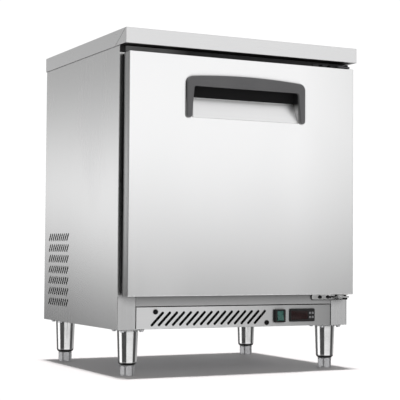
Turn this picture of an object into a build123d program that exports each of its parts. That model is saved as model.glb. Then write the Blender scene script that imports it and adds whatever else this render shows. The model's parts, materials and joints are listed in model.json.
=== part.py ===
from build123d import *
import os
from math import atan2, degrees, hypot

os.makedirs("parts", exist_ok=True)

# ---------------------------------------------------------------------------
# Driving dimensions, millimetres.
# Origin: floor level, at the middle of the footprint.  +X is the hinge side,
# +Y is the back, +Z is up.
# ---------------------------------------------------------------------------
WIDTH = 700.0
DEPTH = 600.0
HEIGHT = 890.0
WORKTOP_APRON = 40.0
WORKTOP_SHEET = 1.2
SEAM_REACH = 70.0
SEAM_WIDTH = 2.2
SEAM_DEPTH = 0.5
LEG_HEIGHT = 120.0
PAN_TOP = LEG_HEIGHT + 1.5
HANDLE_PROUD = 8.0
FRONT = -(DEPTH - HANDLE_PROUD) / 2
BACK = FRONT + DEPTH

SKIN = 1.0
CABINET_HALF = WIDTH / 2 - 2
CABINET_FRONT = FRONT + 45.0
CABINET_BACK = BACK - 4.0
CABINET_TOP = HEIGHT - WORKTOP_APRON
BASE_TOP = 206.0
POST_WIDTH = 52.0
PANEL_HEM = 14.0

CAVITY_HALF = 303.0
CAVITY_FLOOR = 250.0
CAVITY_TOP = 800.0
CAVITY_BACK = 248.0
STEP_FRONT = 50.0
STEP_TOP = 420.0
LINER_SHEET = 0.8
WALL_FOAM = 45.0
COMPARTMENT_FRONT = STEP_FRONT + WALL_FOAM
COMPARTMENT_TOP = STEP_TOP - WALL_FOAM

DOOR_HALF = 339.5
DOOR_BOTTOM = 206.5
DOOR_TOP = 831.0
DOOR_PAN = 30.0
DOOR_LINER_DEPTH = 34.0
GASKET_DEPTH = 44.7
PIVOT_X = DOOR_HALF - 13.5
PIVOT_Y = FRONT + 20.0
PIN_RADIUS = 4.0
BUSH_CLEARANCE = 0.05
BUSH_RADIUS = 7.0
BUSH_LENGTH = 20.0

HANDLE_HALF = 178.5
HANDLE_BOTTOM = 669.0
HANDLE_TOP = 778.0
HANDLE_CROWN = 7.0
BAND_UNDERSIDE = 752.0
POCKET_HALF = 158.5
POCKET_TOP = 766.0
POCKET_DEPTH = 23.0
SCOOP_TOP = 724.0
SCOOP_BOTTOM = 672.0

LEG_X = 301.0
LEG_Y = (FRONT + 85.0, FRONT + 541.0)
FOOT_HEIGHT = 28.0

KICK_BOTTOM = 121.0
KICK_TOP = 177.5
KICK_HALF = 294.5
KICK_FACE = CABINET_FRONT + 0.6
SWITCH_X = 130.0
SWITCH_Z = 148.5
CONTROLLER_X = 202.0
CONTROLLER_Z = 149.5
SCREW_SPOTS = ((-240.0, 165.0), (91.0, 131.0))

SHELF_HALF = 289.0
SHELF_FRONT = CABINET_FRONT + 22.0
SHELF_BACK = 137.0
SHELF_HEIGHTS = (440.0, 620.0)
SHELF_FRAME_RADIUS = 3.0
PILASTER_Y = (-190.0, 12.0)

EVAPORATOR_Z = 690.0
CONDENSER_FAN_Y = 202.0
CONDENSER_FAN_Z = 233.0
COMPRESSOR_X = 190.0
COMPRESSOR_Y = 195.0
PIPE_HOLE = (60.0, 228.0)
PIPE_HOLE_RADIUS = 14.0


# ---------------------------------------------------------------------------
# Helpers
# ---------------------------------------------------------------------------
def block(x0, x1, y0, y1, z0, z1):
    """Box between two opposite corners."""
    middle = Pos((x0 + x1) / 2, (y0 + y1) / 2, (z0 + z1) / 2)
    return middle * Box(abs(x1 - x0), abs(y1 - y0), abs(z1 - z0))


def rod(start, direction, radius, length):
    """Round bar that starts at a point and runs along a direction."""
    plane = Plane(origin=start, z_dir=direction)
    return plane * Cylinder(radius, length, align=(Align.CENTER, Align.CENTER, Align.MIN))


def hexagon_bar(start, direction, flats, length):
    """Hexagonal bar, such as a bolt head or a nut."""
    plane = Plane(origin=start, z_dir=direction)
    return extrude(plane * RegularPolygon(flats / 2, 6, major_radius=False), length)


def front_plane(y):
    """Plane facing the front, with x to the right and y up."""
    return Plane(origin=(0, y, 0), x_dir=(1, 0, 0), z_dir=(0, -1, 0))


def side_plane(x):
    """Plane facing +X, with x towards the back and y up."""
    return Plane(origin=(x, 0, 0), x_dir=(0, 1, 0), z_dir=(1, 0, 0))


def ring_plate(half_out, z_out, half_in, z_in, y0, y1):
    """Rectangular ring lying in a front-facing plane."""
    outer = block(-half_out, half_out, y0, y1, z_out[0], z_out[1])
    return outer - block(-half_in, half_in, y0 - 1, y1 + 1, z_in[0], z_in[1])


def pipe(points, radius, bend):
    """Round tube along straight runs joined by arcs."""
    path = FilletPolyline(*points, radius=bend)
    return sweep(Plane(origin=path @ 0, z_dir=path % 0) * Circle(radius), path=path)


def group(solids):
    """Several separate solids that share one node."""
    return Compound(children=[part for shape in solids for part in shape.solids()])


def mirrored(shape):
    """The same shape on the other side of the middle."""
    return mirror(shape, about=Plane.YZ)


PARTS = {}


def keep(name, shape):
    PARTS[name] = shape


# ---------------------------------------------------------------------------
# Worktop
# ---------------------------------------------------------------------------
def make_worktop():
    half = WIDTH / 2
    pan = block(-half, half, FRONT, BACK, CABINET_TOP, HEIGHT)
    pan = fillet(pan.edges().filter_by(Axis.Z), 1.6)
    pan = fillet(pan.faces().sort_by(Axis.Z)[-1].edges(), 1.4)
    t = WORKTOP_SHEET
    pan -= block(-half + t, half - t, FRONT + t, BACK - t, CABINET_TOP + t, HEIGHT - t)
    lip = 12.0
    pan -= block(-half + lip, half - lip, FRONT + lip, BACK - lip, CABINET_TOP - 1, CABINET_TOP + 2 * t)
    seam_line = Plane(origin=(half, FRONT, HEIGHT), x_dir=(0, SEAM_REACH, -WORKTOP_APRON), z_dir=(1, 0, 0))
    seam = seam_line * Box(200, SEAM_WIDTH, 2 * SEAM_DEPTH)
    return pan - seam - mirrored(seam)


def make_worktop_core():
    gap = 0.3
    half = WIDTH / 2 - WORKTOP_SHEET - gap
    return block(-half, half, FRONT + 1.5, BACK - 1.5, CABINET_TOP + 1.5, HEIGHT - WORKTOP_SHEET)


# ---------------------------------------------------------------------------
# Cabinet skins
# ---------------------------------------------------------------------------
LOUVRE_ROWS = 7
LOUVRES_PER_ROW = 10
LOUVRE_LEAN = 18.0
LOUVRE_RISE = 22.5
LOUVRE_WIDTH = 7.4


def louvre_cutter():
    """Rows of slanted slots, tops leaning to the front, through the right-hand skin."""
    row_pitch = 30.8
    slot_pitch = 16.0
    first_y = FRONT + 407.0
    first_z = 174.3
    length = hypot(LOUVRE_LEAN - LOUVRE_WIDTH, LOUVRE_RISE - LOUVRE_WIDTH) + LOUVRE_WIDTH
    angle = 180 - degrees(atan2(LOUVRE_RISE - LOUVRE_WIDTH, LOUVRE_LEAN - LOUVRE_WIDTH))
    slots = Sketch()
    for row in range(LOUVRE_ROWS):
        for column in range(LOUVRES_PER_ROW):
            spot = Pos(first_y + column * slot_pitch, first_z + row * row_pitch)
            slots += spot * Rot(0, 0, angle) * SlotOverall(length, LOUVRE_WIDTH)
    return extrude(side_plane(CABINET_HALF - 5) * slots, 10)


def make_side_panel():
    outer = CABINET_HALF
    panel = block(outer - SKIN, outer, CABINET_FRONT, CABINET_BACK, LEG_HEIGHT, CABINET_TOP)
    panel += block(outer - PANEL_HEM, outer, CABINET_FRONT, CABINET_FRONT + SKIN, BASE_TOP, CABINET_TOP)
    panel += block(outer - PANEL_HEM, outer, CABINET_BACK - SKIN, CABINET_BACK, LEG_HEIGHT, CABINET_TOP)
    panel = fillet(panel.edges().filter_by(Axis.Z).group_by(Axis.X)[-1], 0.8)
    return panel - louvre_cutter()


def make_back_panel():
    half = CABINET_HALF - PANEL_HEM - 0.5
    return block(-half, half, CABINET_BACK - SKIN, CABINET_BACK, COMPARTMENT_TOP, CABINET_TOP)


INLET_X = 250.0
INLET_Z = 180.0
REAR_SCREWS = ((-315.0, 145.0), (315.0, 145.0), (-315.0, 350.0), (315.0, 350.0))


def make_rear_grille():
    """Removable rear cover of the compressor compartment, with cooling slots."""
    half = CABINET_HALF - PANEL_HEM - 0.5
    cover = block(-half, half, CABINET_BACK - SKIN, CABINET_BACK, LEG_HEIGHT + 3, COMPARTMENT_TOP - 1)
    slots = Sketch()
    for column in range(9):
        for row in range(12):
            slots += Pos(-272.0 + column * 54.0, 162.0 + row * 16.0) * SlotOverall(42, 6)
    face = front_plane(CABINET_BACK + 5)
    cover -= extrude(face * slots, 12)
    cover -= block(INLET_X - 24.2, INLET_X + 24.2, BACK - 12, BACK, INLET_Z - 14.2, INLET_Z + 14.2)
    for x, z in REAR_SCREWS:
        cover -= rod((x, BACK, z), (0, -1, 0), 2.3, 12)
    return cover


def make_rear_screws():
    screws = []
    for x, z in REAR_SCREWS:
        head = rod((x, CABINET_BACK, z), (0, 1, 0), 4.5, 2.4)
        head = fillet(head.faces().sort_by(Axis.Y)[-1].edges(), 1.2)
        head = head - block(x - 3, x + 3, CABINET_BACK + 1.6, CABINET_BACK + 4, z - 0.5, z + 0.5)
        head = head - block(x - 0.5, x + 0.5, CABINET_BACK + 1.6, CABINET_BACK + 4, z - 3, z + 3)
        screws.append(head + rod((x, CABINET_BACK, z), (0, -1, 0), 2.1, 12))
    return group(screws)


# ---------------------------------------------------------------------------
# Insulated body
# ---------------------------------------------------------------------------
def cavity_solid(grow):
    """Stepped storage space, grown outwards by a sheet thickness."""
    low = CAVITY_FLOOR - grow
    front = CABINET_FRONT + 1.6
    back = CAVITY_BACK + grow
    half = CAVITY_HALF + grow
    space = block(-half, half, front, back, low, CAVITY_TOP + grow)
    return space - block(-half - 1, half + 1, STEP_FRONT + grow, back + 1, low - 1, STEP_TOP - grow)


def pipe_passage(z0, z1):
    x, y = PIPE_HOLE
    return rod((x, y, z0), (0, 0, 1), PIPE_HOLE_RADIUS, z1 - z0)


def make_liner():
    inside = cavity_solid(0) + block(
        -CAVITY_HALF, CAVITY_HALF, CABINET_FRONT, CABINET_FRONT + 2, CAVITY_FLOOR, CAVITY_TOP
    )
    return cavity_solid(LINER_SHEET) - inside - pipe_passage(STEP_TOP - 5, STEP_TOP + 5)


def make_insulation():
    half = CABINET_HALF - SKIN - 0.2
    foam = block(-half, half, CABINET_FRONT + 1.7, CABINET_BACK - 1.2, BASE_TOP + 0.2, CABINET_TOP - 0.2)
    foam -= cavity_solid(LINER_SHEET) + block(
        -CAVITY_HALF, CAVITY_HALF, CABINET_FRONT, CABINET_FRONT + 3, CAVITY_FLOOR, CAVITY_TOP
    )
    foam -= block(-WIDTH, WIDTH, COMPARTMENT_FRONT, DEPTH, 0, COMPARTMENT_TOP)
    return foam - pipe_passage(COMPARTMENT_TOP - 5, STEP_TOP + 5)


def make_front_frame():
    """Thermal break that closes the foam around the door opening."""
    half = CABINET_HALF - PANEL_HEM - 0.3
    z_out = (BASE_TOP + 0.2, CABINET_TOP - 0.2)
    z_in = (CAVITY_FLOOR, CAVITY_TOP)
    return ring_plate(half, z_out, CAVITY_HALF, z_in, CABINET_FRONT, CABINET_FRONT + 1.5)


# ---------------------------------------------------------------------------
# Base
# ---------------------------------------------------------------------------
LEG_PLATE_HALF = 34.0
LEG_PLATE = 2.5
LEG_PLATE_LOW = LEG_HEIGHT - 0.1 - LEG_PLATE
LEG_SCREW_REACH = 27.0
POST_SHEET = 1.2
POST_DEPTH = 34.0


def leg_screw_spots():
    reach = (-LEG_SCREW_REACH, LEG_SCREW_REACH)
    return [(side * LEG_X + dx, y + dy) for side in (-1, 1) for y in LEG_Y for dx in reach for dy in reach]


def make_base_pan():
    half = CABINET_HALF - SKIN - POST_SHEET - 0.3
    pan = block(-half, half, CABINET_FRONT + 6, CABINET_BACK - 1.2, LEG_HEIGHT, PAN_TOP)
    wall = CABINET_HALF - POST_WIDTH
    for side in (-1, 1):
        x0 = side * (wall - 0.2)
        x1 = side * (wall + POST_SHEET + 0.2)
        pan -= block(x0, x1, CABINET_FRONT, CABINET_FRONT + POST_DEPTH + 0.2, 0, HEIGHT)
    for x, y in leg_screw_spots():
        pan -= rod((x, y, LEG_HEIGHT), (0, 0, 1), 3.2, 10)
    slots = Sketch()
    for column in range(8):
        for row in range(3):
            slots += Pos(-110.0 + column * 32.0, -40.0 + row * 50.0) * Rot(0, 0, 90) * SlotOverall(36, 7)
    return pan - extrude(Plane.XY.offset(LEG_HEIGHT - 2) * slots, 10)


def make_corner_post():
    """Folded front post of the base, right-hand side."""
    outer = CABINET_HALF - SKIN - 0.1
    inner = CABINET_HALF - POST_WIDTH
    t = POST_SHEET
    back = CABINET_FRONT + POST_DEPTH
    post = block(inner, outer, CABINET_FRONT, back, LEG_HEIGHT, BASE_TOP)
    post = fillet(post.edges().filter_by(Axis.Z).group_by(Axis.Y)[0], 1.2)
    return post - block(inner + t, outer - t, CABINET_FRONT + t, back + 1, LEG_HEIGHT - 1, BASE_TOP - t)


def make_base_rail():
    half = CABINET_HALF - POST_WIDTH - 0.4
    t = 1.2
    face = CABINET_FRONT + 0.6
    low = KICK_TOP + 1.8
    rail = block(-half, half, face, CABINET_FRONT + 26, low, BASE_TOP)
    rail = fillet(rail.edges().filter_by(Axis.X).group_by(Axis.Y)[0], 1.1)
    return rail - block(-half - 1, half + 1, face + t, CABINET_FRONT + 27, low + t, BASE_TOP - t)


KICK_SLOTS = 16
KICK_SLOT_PITCH = 20.3
KICK_SLOT_FIRST_X = -234.6
KICK_SLOT_Z = 146.5
KICK_SLOT_RUN = 31.0
KICK_SLOT_RISE = 31.0
KICK_SLOT_WIDTH = 6.8


def make_kick_panel():
    t = 1.2
    depth = 13.0
    panel = block(-KICK_HALF, KICK_HALF, KICK_FACE, KICK_FACE + depth, KICK_BOTTOM, KICK_TOP)
    panel = fillet(panel.edges().group_by(Axis.Y)[0], 1.1)
    panel -= block(
        -KICK_HALF + t, KICK_HALF - t, KICK_FACE + t, KICK_FACE + depth + 1, KICK_BOTTOM + t, KICK_TOP - t
    )
    panel -= block(-WIDTH, WIDTH, KICK_FACE + 4, KICK_FACE + depth + 1, 0, KICK_BOTTOM + t + 0.3)
    length = hypot(KICK_SLOT_RUN, KICK_SLOT_RISE) + KICK_SLOT_WIDTH
    angle = degrees(atan2(KICK_SLOT_RISE, KICK_SLOT_RUN))
    holes = Sketch()
    for number in range(KICK_SLOTS):
        spot = Pos(KICK_SLOT_FIRST_X + number * KICK_SLOT_PITCH, KICK_SLOT_Z)
        holes += spot * Rot(0, 0, angle) * SlotOverall(length, KICK_SLOT_WIDTH)
    for x, z in SCREW_SPOTS:
        holes += Pos(x, z) * Circle(2.7)
    holes += Pos(SWITCH_X, SWITCH_Z) * Rectangle(23, 30.4)
    holes += Pos(CONTROLLER_X, CONTROLLER_Z) * Rectangle(71.4, 29.4)
    return panel - extrude(front_plane(KICK_FACE + 5) * holes, 10)


def make_kick_screws():
    screws = []
    for x, z in SCREW_SPOTS:
        head = rod((x, KICK_FACE, z), (0, -1, 0), 6.5, 3.6)
        head = fillet(head.faces().sort_by(Axis.Y)[0].edges(), 2.2)
        socket = hexagon_bar((x, KICK_FACE - 2, z), (0, -1, 0), 4, 3)
        screws.append(head - socket + rod((x, KICK_FACE, z), (0, 1, 0), 2.5, 14))
    return group(screws)


# ---------------------------------------------------------------------------
# Legs and feet
# ---------------------------------------------------------------------------
LEG_TOP_RADIUS = 27.5
LEG_LOW_RADIUS = 24.3
LEG_END_RADIUS = 19.5
STUD_RADIUS = 6.0
STUD_CLEARANCE = 0.08
FOOT_RADIUS = 19.0
FOOT_FLATS = 35.0


def make_leg(x, y):
    """Tapered tube with a welded top plate and a threaded bush in its end."""
    plate_z = LEG_PLATE_LOW
    end_z = FOOT_HEIGHT + 0.1
    shoulder = (LEG_LOW_RADIUS - 1.4, end_z + 3.6)
    wall_start = (LEG_LOW_RADIUS, end_z + 9)
    profile = Curve() + [
        Line((0, end_z), (LEG_END_RADIUS, end_z)),
        ThreePointArc((LEG_END_RADIUS, end_z), shoulder, wall_start),
        Line(wall_start, (LEG_TOP_RADIUS, plate_z)),
        Line((LEG_TOP_RADIUS, plate_z), (0, plate_z)),
        Line((0, plate_z), (0, end_z)),
    ]
    tube = revolve(Plane.XZ * make_face(profile), Axis.Z)
    inner = Polyline(
        (STUD_RADIUS + 7, FOOT_HEIGHT + 16),
        (LEG_LOW_RADIUS - 2.2, FOOT_HEIGHT + 16),
        (LEG_TOP_RADIUS - 1.5, plate_z + 1),
        (0, plate_z + 1),
        (0, FOOT_HEIGHT + 44),
        (STUD_RADIUS + 7, FOOT_HEIGHT + 44),
        close=True,
    )
    tube -= revolve(Plane.XZ * make_face(inner), Axis.Z)
    half = LEG_PLATE_HALF
    plate = block(-half, half, -half, half, plate_z, plate_z + LEG_PLATE)
    plate = fillet(plate.edges().filter_by(Axis.Z), 6)
    for px in (-LEG_SCREW_REACH, LEG_SCREW_REACH):
        for py in (-LEG_SCREW_REACH, LEG_SCREW_REACH):
            plate -= rod((px, py, plate_z - 1), (0, 0, 1), 3.2, 5)
    leg = tube + plate
    leg -= rod((0, 0, FOOT_HEIGHT - 1), (0, 0, 1), STUD_RADIUS + STUD_CLEARANCE, 44)
    return Pos(x, y, 0) * leg


def make_foot(x, y):
    """Adjustable foot with scalloped flats and a threaded stud that runs in the leg."""
    base = rod((0, 0, 0), (0, 0, 1), FOOT_RADIUS, FOOT_HEIGHT - 0.2)
    base = fillet(base.edges().group_by(Axis.Z)[-1], 1.5)
    base = chamfer(base.edges().group_by(Axis.Z)[0], 1.2)
    for number in range(6):
        slab = block(FOOT_FLATS / 2, FOOT_RADIUS + 5, -15, 15, 4.0, FOOT_HEIGHT - 4.0)
        slab = fillet(slab.edges().filter_by(Axis.X), 5)
        base -= Rot(0, 0, 60 * number + 20) * slab
    stud = rod((0, 0, FOOT_HEIGHT - 1), (0, 0, 1), STUD_RADIUS, 38)
    return Pos(x, y, 0) * (base + stud)


def make_leg_screws():
    """Hexagon screws that hold the leg plates to the base pan."""
    screws = []
    for x, y in leg_screw_spots():
        head = hexagon_bar((x, y, LEG_PLATE_LOW - 4), (0, 0, 1), 10, 4)
        screws.append(head + rod((x, y, LEG_PLATE_LOW - 0.5), (0, 0, 1), 3.0, 9))
    return group(screws)


# ---------------------------------------------------------------------------
# Hinges
# ---------------------------------------------------------------------------
FLANGE_LEFT = 232.0
FLANGE_RIGHT = 337.0
FLANGE_HEIGHT = 14.0
FLANGE_SHEET = 3.0
ARM_SHEET = 4.0
HINGE_BOLTS_X = (258.0, 284.0)


def make_bracket(flange_low, arm_low):
    """Flange on the cabinet front with an arm that carries the pin."""
    y0 = CABINET_FRONT - FLANGE_SHEET
    face = front_plane(CABINET_FRONT)
    middle = ((FLANGE_LEFT + FLANGE_RIGHT) / 2, flange_low + FLANGE_HEIGHT / 2)
    outline = Pos(*middle) * RectangleRounded(FLANGE_RIGHT - FLANGE_LEFT, FLANGE_HEIGHT, 5.5)
    flange = extrude(face * outline, FLANGE_SHEET)
    arm = block(PIVOT_X - 34, PIVOT_X + 11, PIVOT_Y - 11, y0 + 0.5, arm_low, arm_low + ARM_SHEET)
    arm = fillet(arm.edges().filter_by(Axis.Z).group_by(Axis.Y)[0], 10)
    web = block(PIVOT_X - 34, PIVOT_X + 8, y0 - 6, y0 + 0.5, arm_low - 2, arm_low + ARM_SHEET)
    bracket = flange + arm + web
    bracket -= rod((PIVOT_X, PIVOT_Y, arm_low - 1), (0, 0, 1), PIN_RADIUS + 0.02, ARM_SHEET + 2)
    for x in HINGE_BOLTS_X:
        bracket -= rod((x, CABINET_FRONT + 1, middle[1]), (0, -1, 0), 2.7, 14)
    return bracket


LOWER_FLANGE = DOOR_BOTTOM - 1.2 - FLANGE_HEIGHT
LOWER_ARM = 197.0
UPPER_FLANGE = DOOR_TOP + 2.0
UPPER_ARM = 835.0


def make_hinge_pins():
    """Lower and upper pivot pins, each with a head outside its arm."""
    lower = rod((PIVOT_X, PIVOT_Y, LOWER_ARM), (0, 0, 1), PIN_RADIUS, 26)
    lower += hexagon_bar((PIVOT_X, PIVOT_Y, LOWER_ARM - 5.5), (0, 0, 1), 13, 5.4)
    lower += rod((PIVOT_X, PIVOT_Y, LOWER_ARM - 0.4), (0, 0, 1), PIN_RADIUS - 0.3, 1)
    upper = rod((PIVOT_X, PIVOT_Y, UPPER_ARM + ARM_SHEET - 26), (0, 0, 1), PIN_RADIUS, 26.2)
    upper += hexagon_bar((PIVOT_X, PIVOT_Y, UPPER_ARM + ARM_SHEET + 0.1), (0, 0, 1), 13, 4.5)
    return group([lower, upper])


def make_hinge_screws():
    screws = []
    for low in (LOWER_FLANGE, UPPER_FLANGE):
        z = low + FLANGE_HEIGHT / 2
        for x in HINGE_BOLTS_X:
            y = CABINET_FRONT - FLANGE_SHEET
            head = hexagon_bar((x, y, z), (0, -1, 0), 8, 3.5)
            screws.append(head + rod((x, y - 0.5, z), (0, 1, 0), 2.5, FLANGE_SHEET + 0.4))
    return group(screws)


# ---------------------------------------------------------------------------
# Door
# ---------------------------------------------------------------------------
def pocket_outline(grow):
    """Side section of the finger pocket: flush below, deep under the grip."""
    low = SCOOP_BOTTOM - 2.5 * grow
    points = Polyline(
        (FRONT - 1, low),
        (FRONT, low),
        (FRONT + POCKET_DEPTH + grow, SCOOP_TOP),
        (FRONT + POCKET_DEPTH + grow, POCKET_TOP + grow),
        (FRONT - 1, POCKET_TOP + grow),
        close=True,
    )
    return make_face(points)


def pocket_solid(grow):
    half = POCKET_HALF + grow
    return extrude(side_plane(-half) * pocket_outline(grow), 2 * half)


def door_block(inset, near, far):
    """Door-sized block, inset all round, between two depths behind the front."""
    half = DOOR_HALF - inset
    return block(-half, half, FRONT + near, FRONT + far, DOOR_BOTTOM + inset, DOOR_TOP - inset)


def make_door_shell():
    t = 0.8
    lip = 12.0
    shell = door_block(0, 0, DOOR_PAN)
    shell = fillet(shell.edges().filter_by(Axis.Z).group_by(Axis.Y)[0], 2.2)
    shell = fillet(shell.faces().sort_by(Axis.Y)[0].edges().filter_by(Axis.X), 1.6)
    shell -= door_block(t, t, DOOR_PAN - t)
    shell -= door_block(lip, 5, DOOR_PAN + 1)
    for side in (-1, 1):
        shell -= block(side * DOOR_HALF - 0.3, side * DOOR_HALF + 0.3, FRONT + 8, FRONT + 8.8, 0, HEIGHT)
    opening = POCKET_HALF + 2.1
    shell -= block(-opening, opening, FRONT - 1, FRONT + 10, SCOOP_BOTTOM - 2, POCKET_TOP + 2.1)
    return shell - bush_space(0.1)


def bush_space(grow):
    """Space that the two hinge bushes take in the door."""
    space = rod((PIVOT_X, PIVOT_Y, DOOR_BOTTOM - 1), (0, 0, 1), BUSH_RADIUS + grow, BUSH_LENGTH + 2 + grow)
    space += rod((PIVOT_X, PIVOT_Y, DOOR_TOP + 1), (0, 0, -1), BUSH_RADIUS + grow, BUSH_LENGTH + 2 + grow)
    return space


FIELD_HALF = 296.0
FIELD_DEPTH = 40.0


def field_block(inset, near, far):
    """Block on the raised field of the door's inner face."""
    half = FIELD_HALF - inset
    low = CAVITY_FLOOR + 8 + inset
    return block(-half, half, FRONT + near, FRONT + far, low, CAVITY_TOP - 8 - inset)


def make_door_foam():
    core = door_block(1.0, 1.0, DOOR_PAN - 1.0)
    core += door_block(14, 5, DOOR_LINER_DEPTH - 2.2)
    core += field_block(16, 5, FIELD_DEPTH - 2.2)
    return core - pocket_solid(2.4) - bush_space(0.2)


GASKET_HALF = 325.0
GASKET_WIDTH = 14.0
GASKET_Z = (CAVITY_FLOOR - 18.0, CAVITY_TOP + 17.5)


def make_door_liner():
    """Moulded inner face of the door with a raised field inside the gasket."""
    liner = door_block(8, DOOR_PAN + 0.1, DOOR_LINER_DEPTH)
    field = field_block(0, DOOR_LINER_DEPTH - 1, FIELD_DEPTH)
    field = fillet(field.edges().filter_by(Axis.Y), 14)
    field = fillet(field.faces().sort_by(Axis.Y)[-1].edges(), 3)
    liner += field
    liner -= door_block(13.8, 0, DOOR_LINER_DEPTH - 2)
    return liner - field_block(15.8, 0, FIELD_DEPTH - 2)


def make_door_gasket():
    low, high = GASKET_Z
    y0 = FRONT + DOOR_LINER_DEPTH + 0.1
    y1 = FRONT + GASKET_DEPTH
    inner = GASKET_HALF - GASKET_WIDTH
    z_in = (low + GASKET_WIDTH, high - GASKET_WIDTH)
    seal = ring_plate(GASKET_HALF, (low, high), inner, z_in, y0, y1)
    seal = fillet(seal.faces().sort_by(Axis.Y)[-1].edges(), 2.5)
    neck = GASKET_HALF - 2
    waist = ring_plate(GASKET_HALF + 1, (low - 1, high + 1), neck, (low + 2, high - 2), y0 + 3, y0 + 5)
    return seal - waist


def make_hinge_bushes():
    bushes = []
    for start, direction in ((DOOR_BOTTOM - 0.3, 1), (DOOR_TOP + 0.3, -1)):
        bush = rod((PIVOT_X, PIVOT_Y, start), (0, 0, direction), BUSH_RADIUS, BUSH_LENGTH)
        flange = rod((PIVOT_X, PIVOT_Y, start), (0, 0, -direction), BUSH_RADIUS + 2, 1.6)
        mouth = (PIVOT_X, PIVOT_Y, start - 3 * direction)
        hole = rod(mouth, (0, 0, direction), PIN_RADIUS + BUSH_CLEARANCE, 30)
        bushes.append(bush + flange - hole)
    return group(bushes)


def grip_outline():
    """Front outline of the grip: crowned band with two tapering prongs."""
    corner = 18.0
    tip = 7.2
    inner_low = HANDLE_HALF - 2 * tip
    bend = 7.0
    half, low, high = HANDLE_HALF, HANDLE_BOTTOM, HANDLE_TOP
    side = POCKET_HALF - 0.5
    diagonal = corner * (1 - 0.70711)
    inner_diagonal = bend * (1 - 0.70711)
    right = [
        ThreePointArc((half - corner, high), (half - diagonal, high - diagonal), (half, high - corner)),
        Line((half, high - corner), (half, low + tip)),
        ThreePointArc((half, low + tip), (half - tip, low), (inner_low, low + tip)),
        Line((inner_low, low + tip), (side, BAND_UNDERSIDE - bend)),
        ThreePointArc(
            (side, BAND_UNDERSIDE - bend),
            (side - inner_diagonal, BAND_UNDERSIDE - inner_diagonal),
            (side - bend, BAND_UNDERSIDE),
        ),
    ]
    left = [mirror(edge, about=Plane.YZ) for edge in right]
    crown = ThreePointArc((-half + corner, high), (0, high + HANDLE_CROWN), (half - corner, high))
    under = Line((-side + bend, BAND_UNDERSIDE), (side - bend, BAND_UNDERSIDE))
    return make_face(Curve() + right + left + [crown, under])


def make_handle_trim():
    """Moulded grip that frames the finger pocket, with the pocket's walls behind it."""
    grip = extrude(front_plane(FRONT - 0.1) * grip_outline(), HANDLE_PROUD - 0.1)
    grip = fillet(grip.faces().sort_by(Axis.Y)[0].edges(), 2.4)
    wall = 2.0
    housing = pocket_solid(wall) - pocket_solid(0)
    housing -= block(-POCKET_HALF, POCKET_HALF, FRONT - 2, FRONT + POCKET_DEPTH + 9, 0, SCOOP_TOP + 1)
    housing -= block(-WIDTH, WIDTH, FRONT - 9, FRONT - 0.2, 0, HEIGHT)
    housing -= block(-WIDTH, WIDTH, FRONT - 9, FRONT + 1.0, 0, SCOOP_BOTTOM + 3)
    return grip + housing


def make_handle_scoop():
    """Stainless slope that leads the fingers up behind the grip."""
    inset = 0.3
    t = 1.0
    half = POCKET_HALF - inset
    section = Polyline(
        (FRONT + 0.2, SCOOP_BOTTOM - 1.8),
        (FRONT + 0.2, SCOOP_BOTTOM),
        (FRONT + POCKET_DEPTH, SCOOP_TOP),
        (FRONT + POCKET_DEPTH, SCOOP_TOP + 0.8),
        (FRONT + POCKET_DEPTH + t, SCOOP_TOP + 0.8),
        (FRONT + POCKET_DEPTH + t, SCOOP_TOP - 0.3),
        (FRONT + 1.2, SCOOP_BOTTOM - 1.8),
        close=True,
    )
    return extrude(side_plane(-half) * make_face(section), 2 * half)


# ---------------------------------------------------------------------------
# Controls
# ---------------------------------------------------------------------------
ROCKER_PIVOT_Y = KICK_FACE - 5.0
ROCKER_TILT = 10.0
ROCKER_PIN_RADIUS = 1.5
BUTTON_SPOTS = {
    "button_set": (226.0, 155.2),
    "button_up": (234.4, 155.2),
    "button_down": (226.0, 143.8),
    "button_power": (234.4, 143.8),
}


def front_block(x, z, half_x, half_z, y0, y1):
    """Block centred on a spot of the control panel."""
    return block(x - half_x, x + half_x, y0, y1, z - half_z, z + half_z)


def make_switch_bezel():
    face = front_plane(KICK_FACE)
    bezel = extrude(face * Pos(SWITCH_X, SWITCH_Z) * RectangleRounded(33, 35, 2.5), 8)
    bezel = fillet(bezel.faces().sort_by(Axis.Y)[0].edges(), 1.4)
    switch = bezel + front_block(SWITCH_X, SWITCH_Z, 11.3, 15, KICK_FACE - 1, KICK_FACE + 22)
    for dx in (-5, 5):
        for dz in (-7, 7):
            x = SWITCH_X + dx
            z = SWITCH_Z + dz
            switch += block(x - 0.4, x + 0.4, KICK_FACE + 21, KICK_FACE + 31, z - 3, z + 3)
    switch -= front_block(SWITCH_X, SWITCH_Z, 9.8, 14.4, KICK_FACE - 10, KICK_FACE + 8)
    pin_hole = rod((SWITCH_X - 11, ROCKER_PIVOT_Y, SWITCH_Z), (1, 0, 0), ROCKER_PIN_RADIUS + 0.05, 22)
    return switch - pin_hole


def make_rocker():
    """Concave rocker on two small pins, resting with its lower half pressed in."""
    front_edge = [(-4.2, 13.2), (-2.4, 0), (-4.2, -13.2)]
    back_edge = [(3.5, -12.4), (9.0, -7.0), (9.0, 7.0), (3.5, 12.4)]
    section = make_face(Polyline(*front_edge, *back_edge, close=True))
    width = 18.8
    rocker = extrude(side_plane(-width / 2) * section, width)
    rocker = fillet(rocker.edges().filter_by(Axis.X).group_by(Axis.Y)[0], 0.8)
    rocker += rod((-width / 2 - 1.2, 0, 0), (1, 0, 0), ROCKER_PIN_RADIUS, width + 2.4)
    return Pos(SWITCH_X, ROCKER_PIVOT_Y, SWITCH_Z) * Rot(-ROCKER_TILT, 0, 0) * rocker


CONTROLLER_PROUD = 4.0
LENS_X = (166.5, 219.0)


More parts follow.
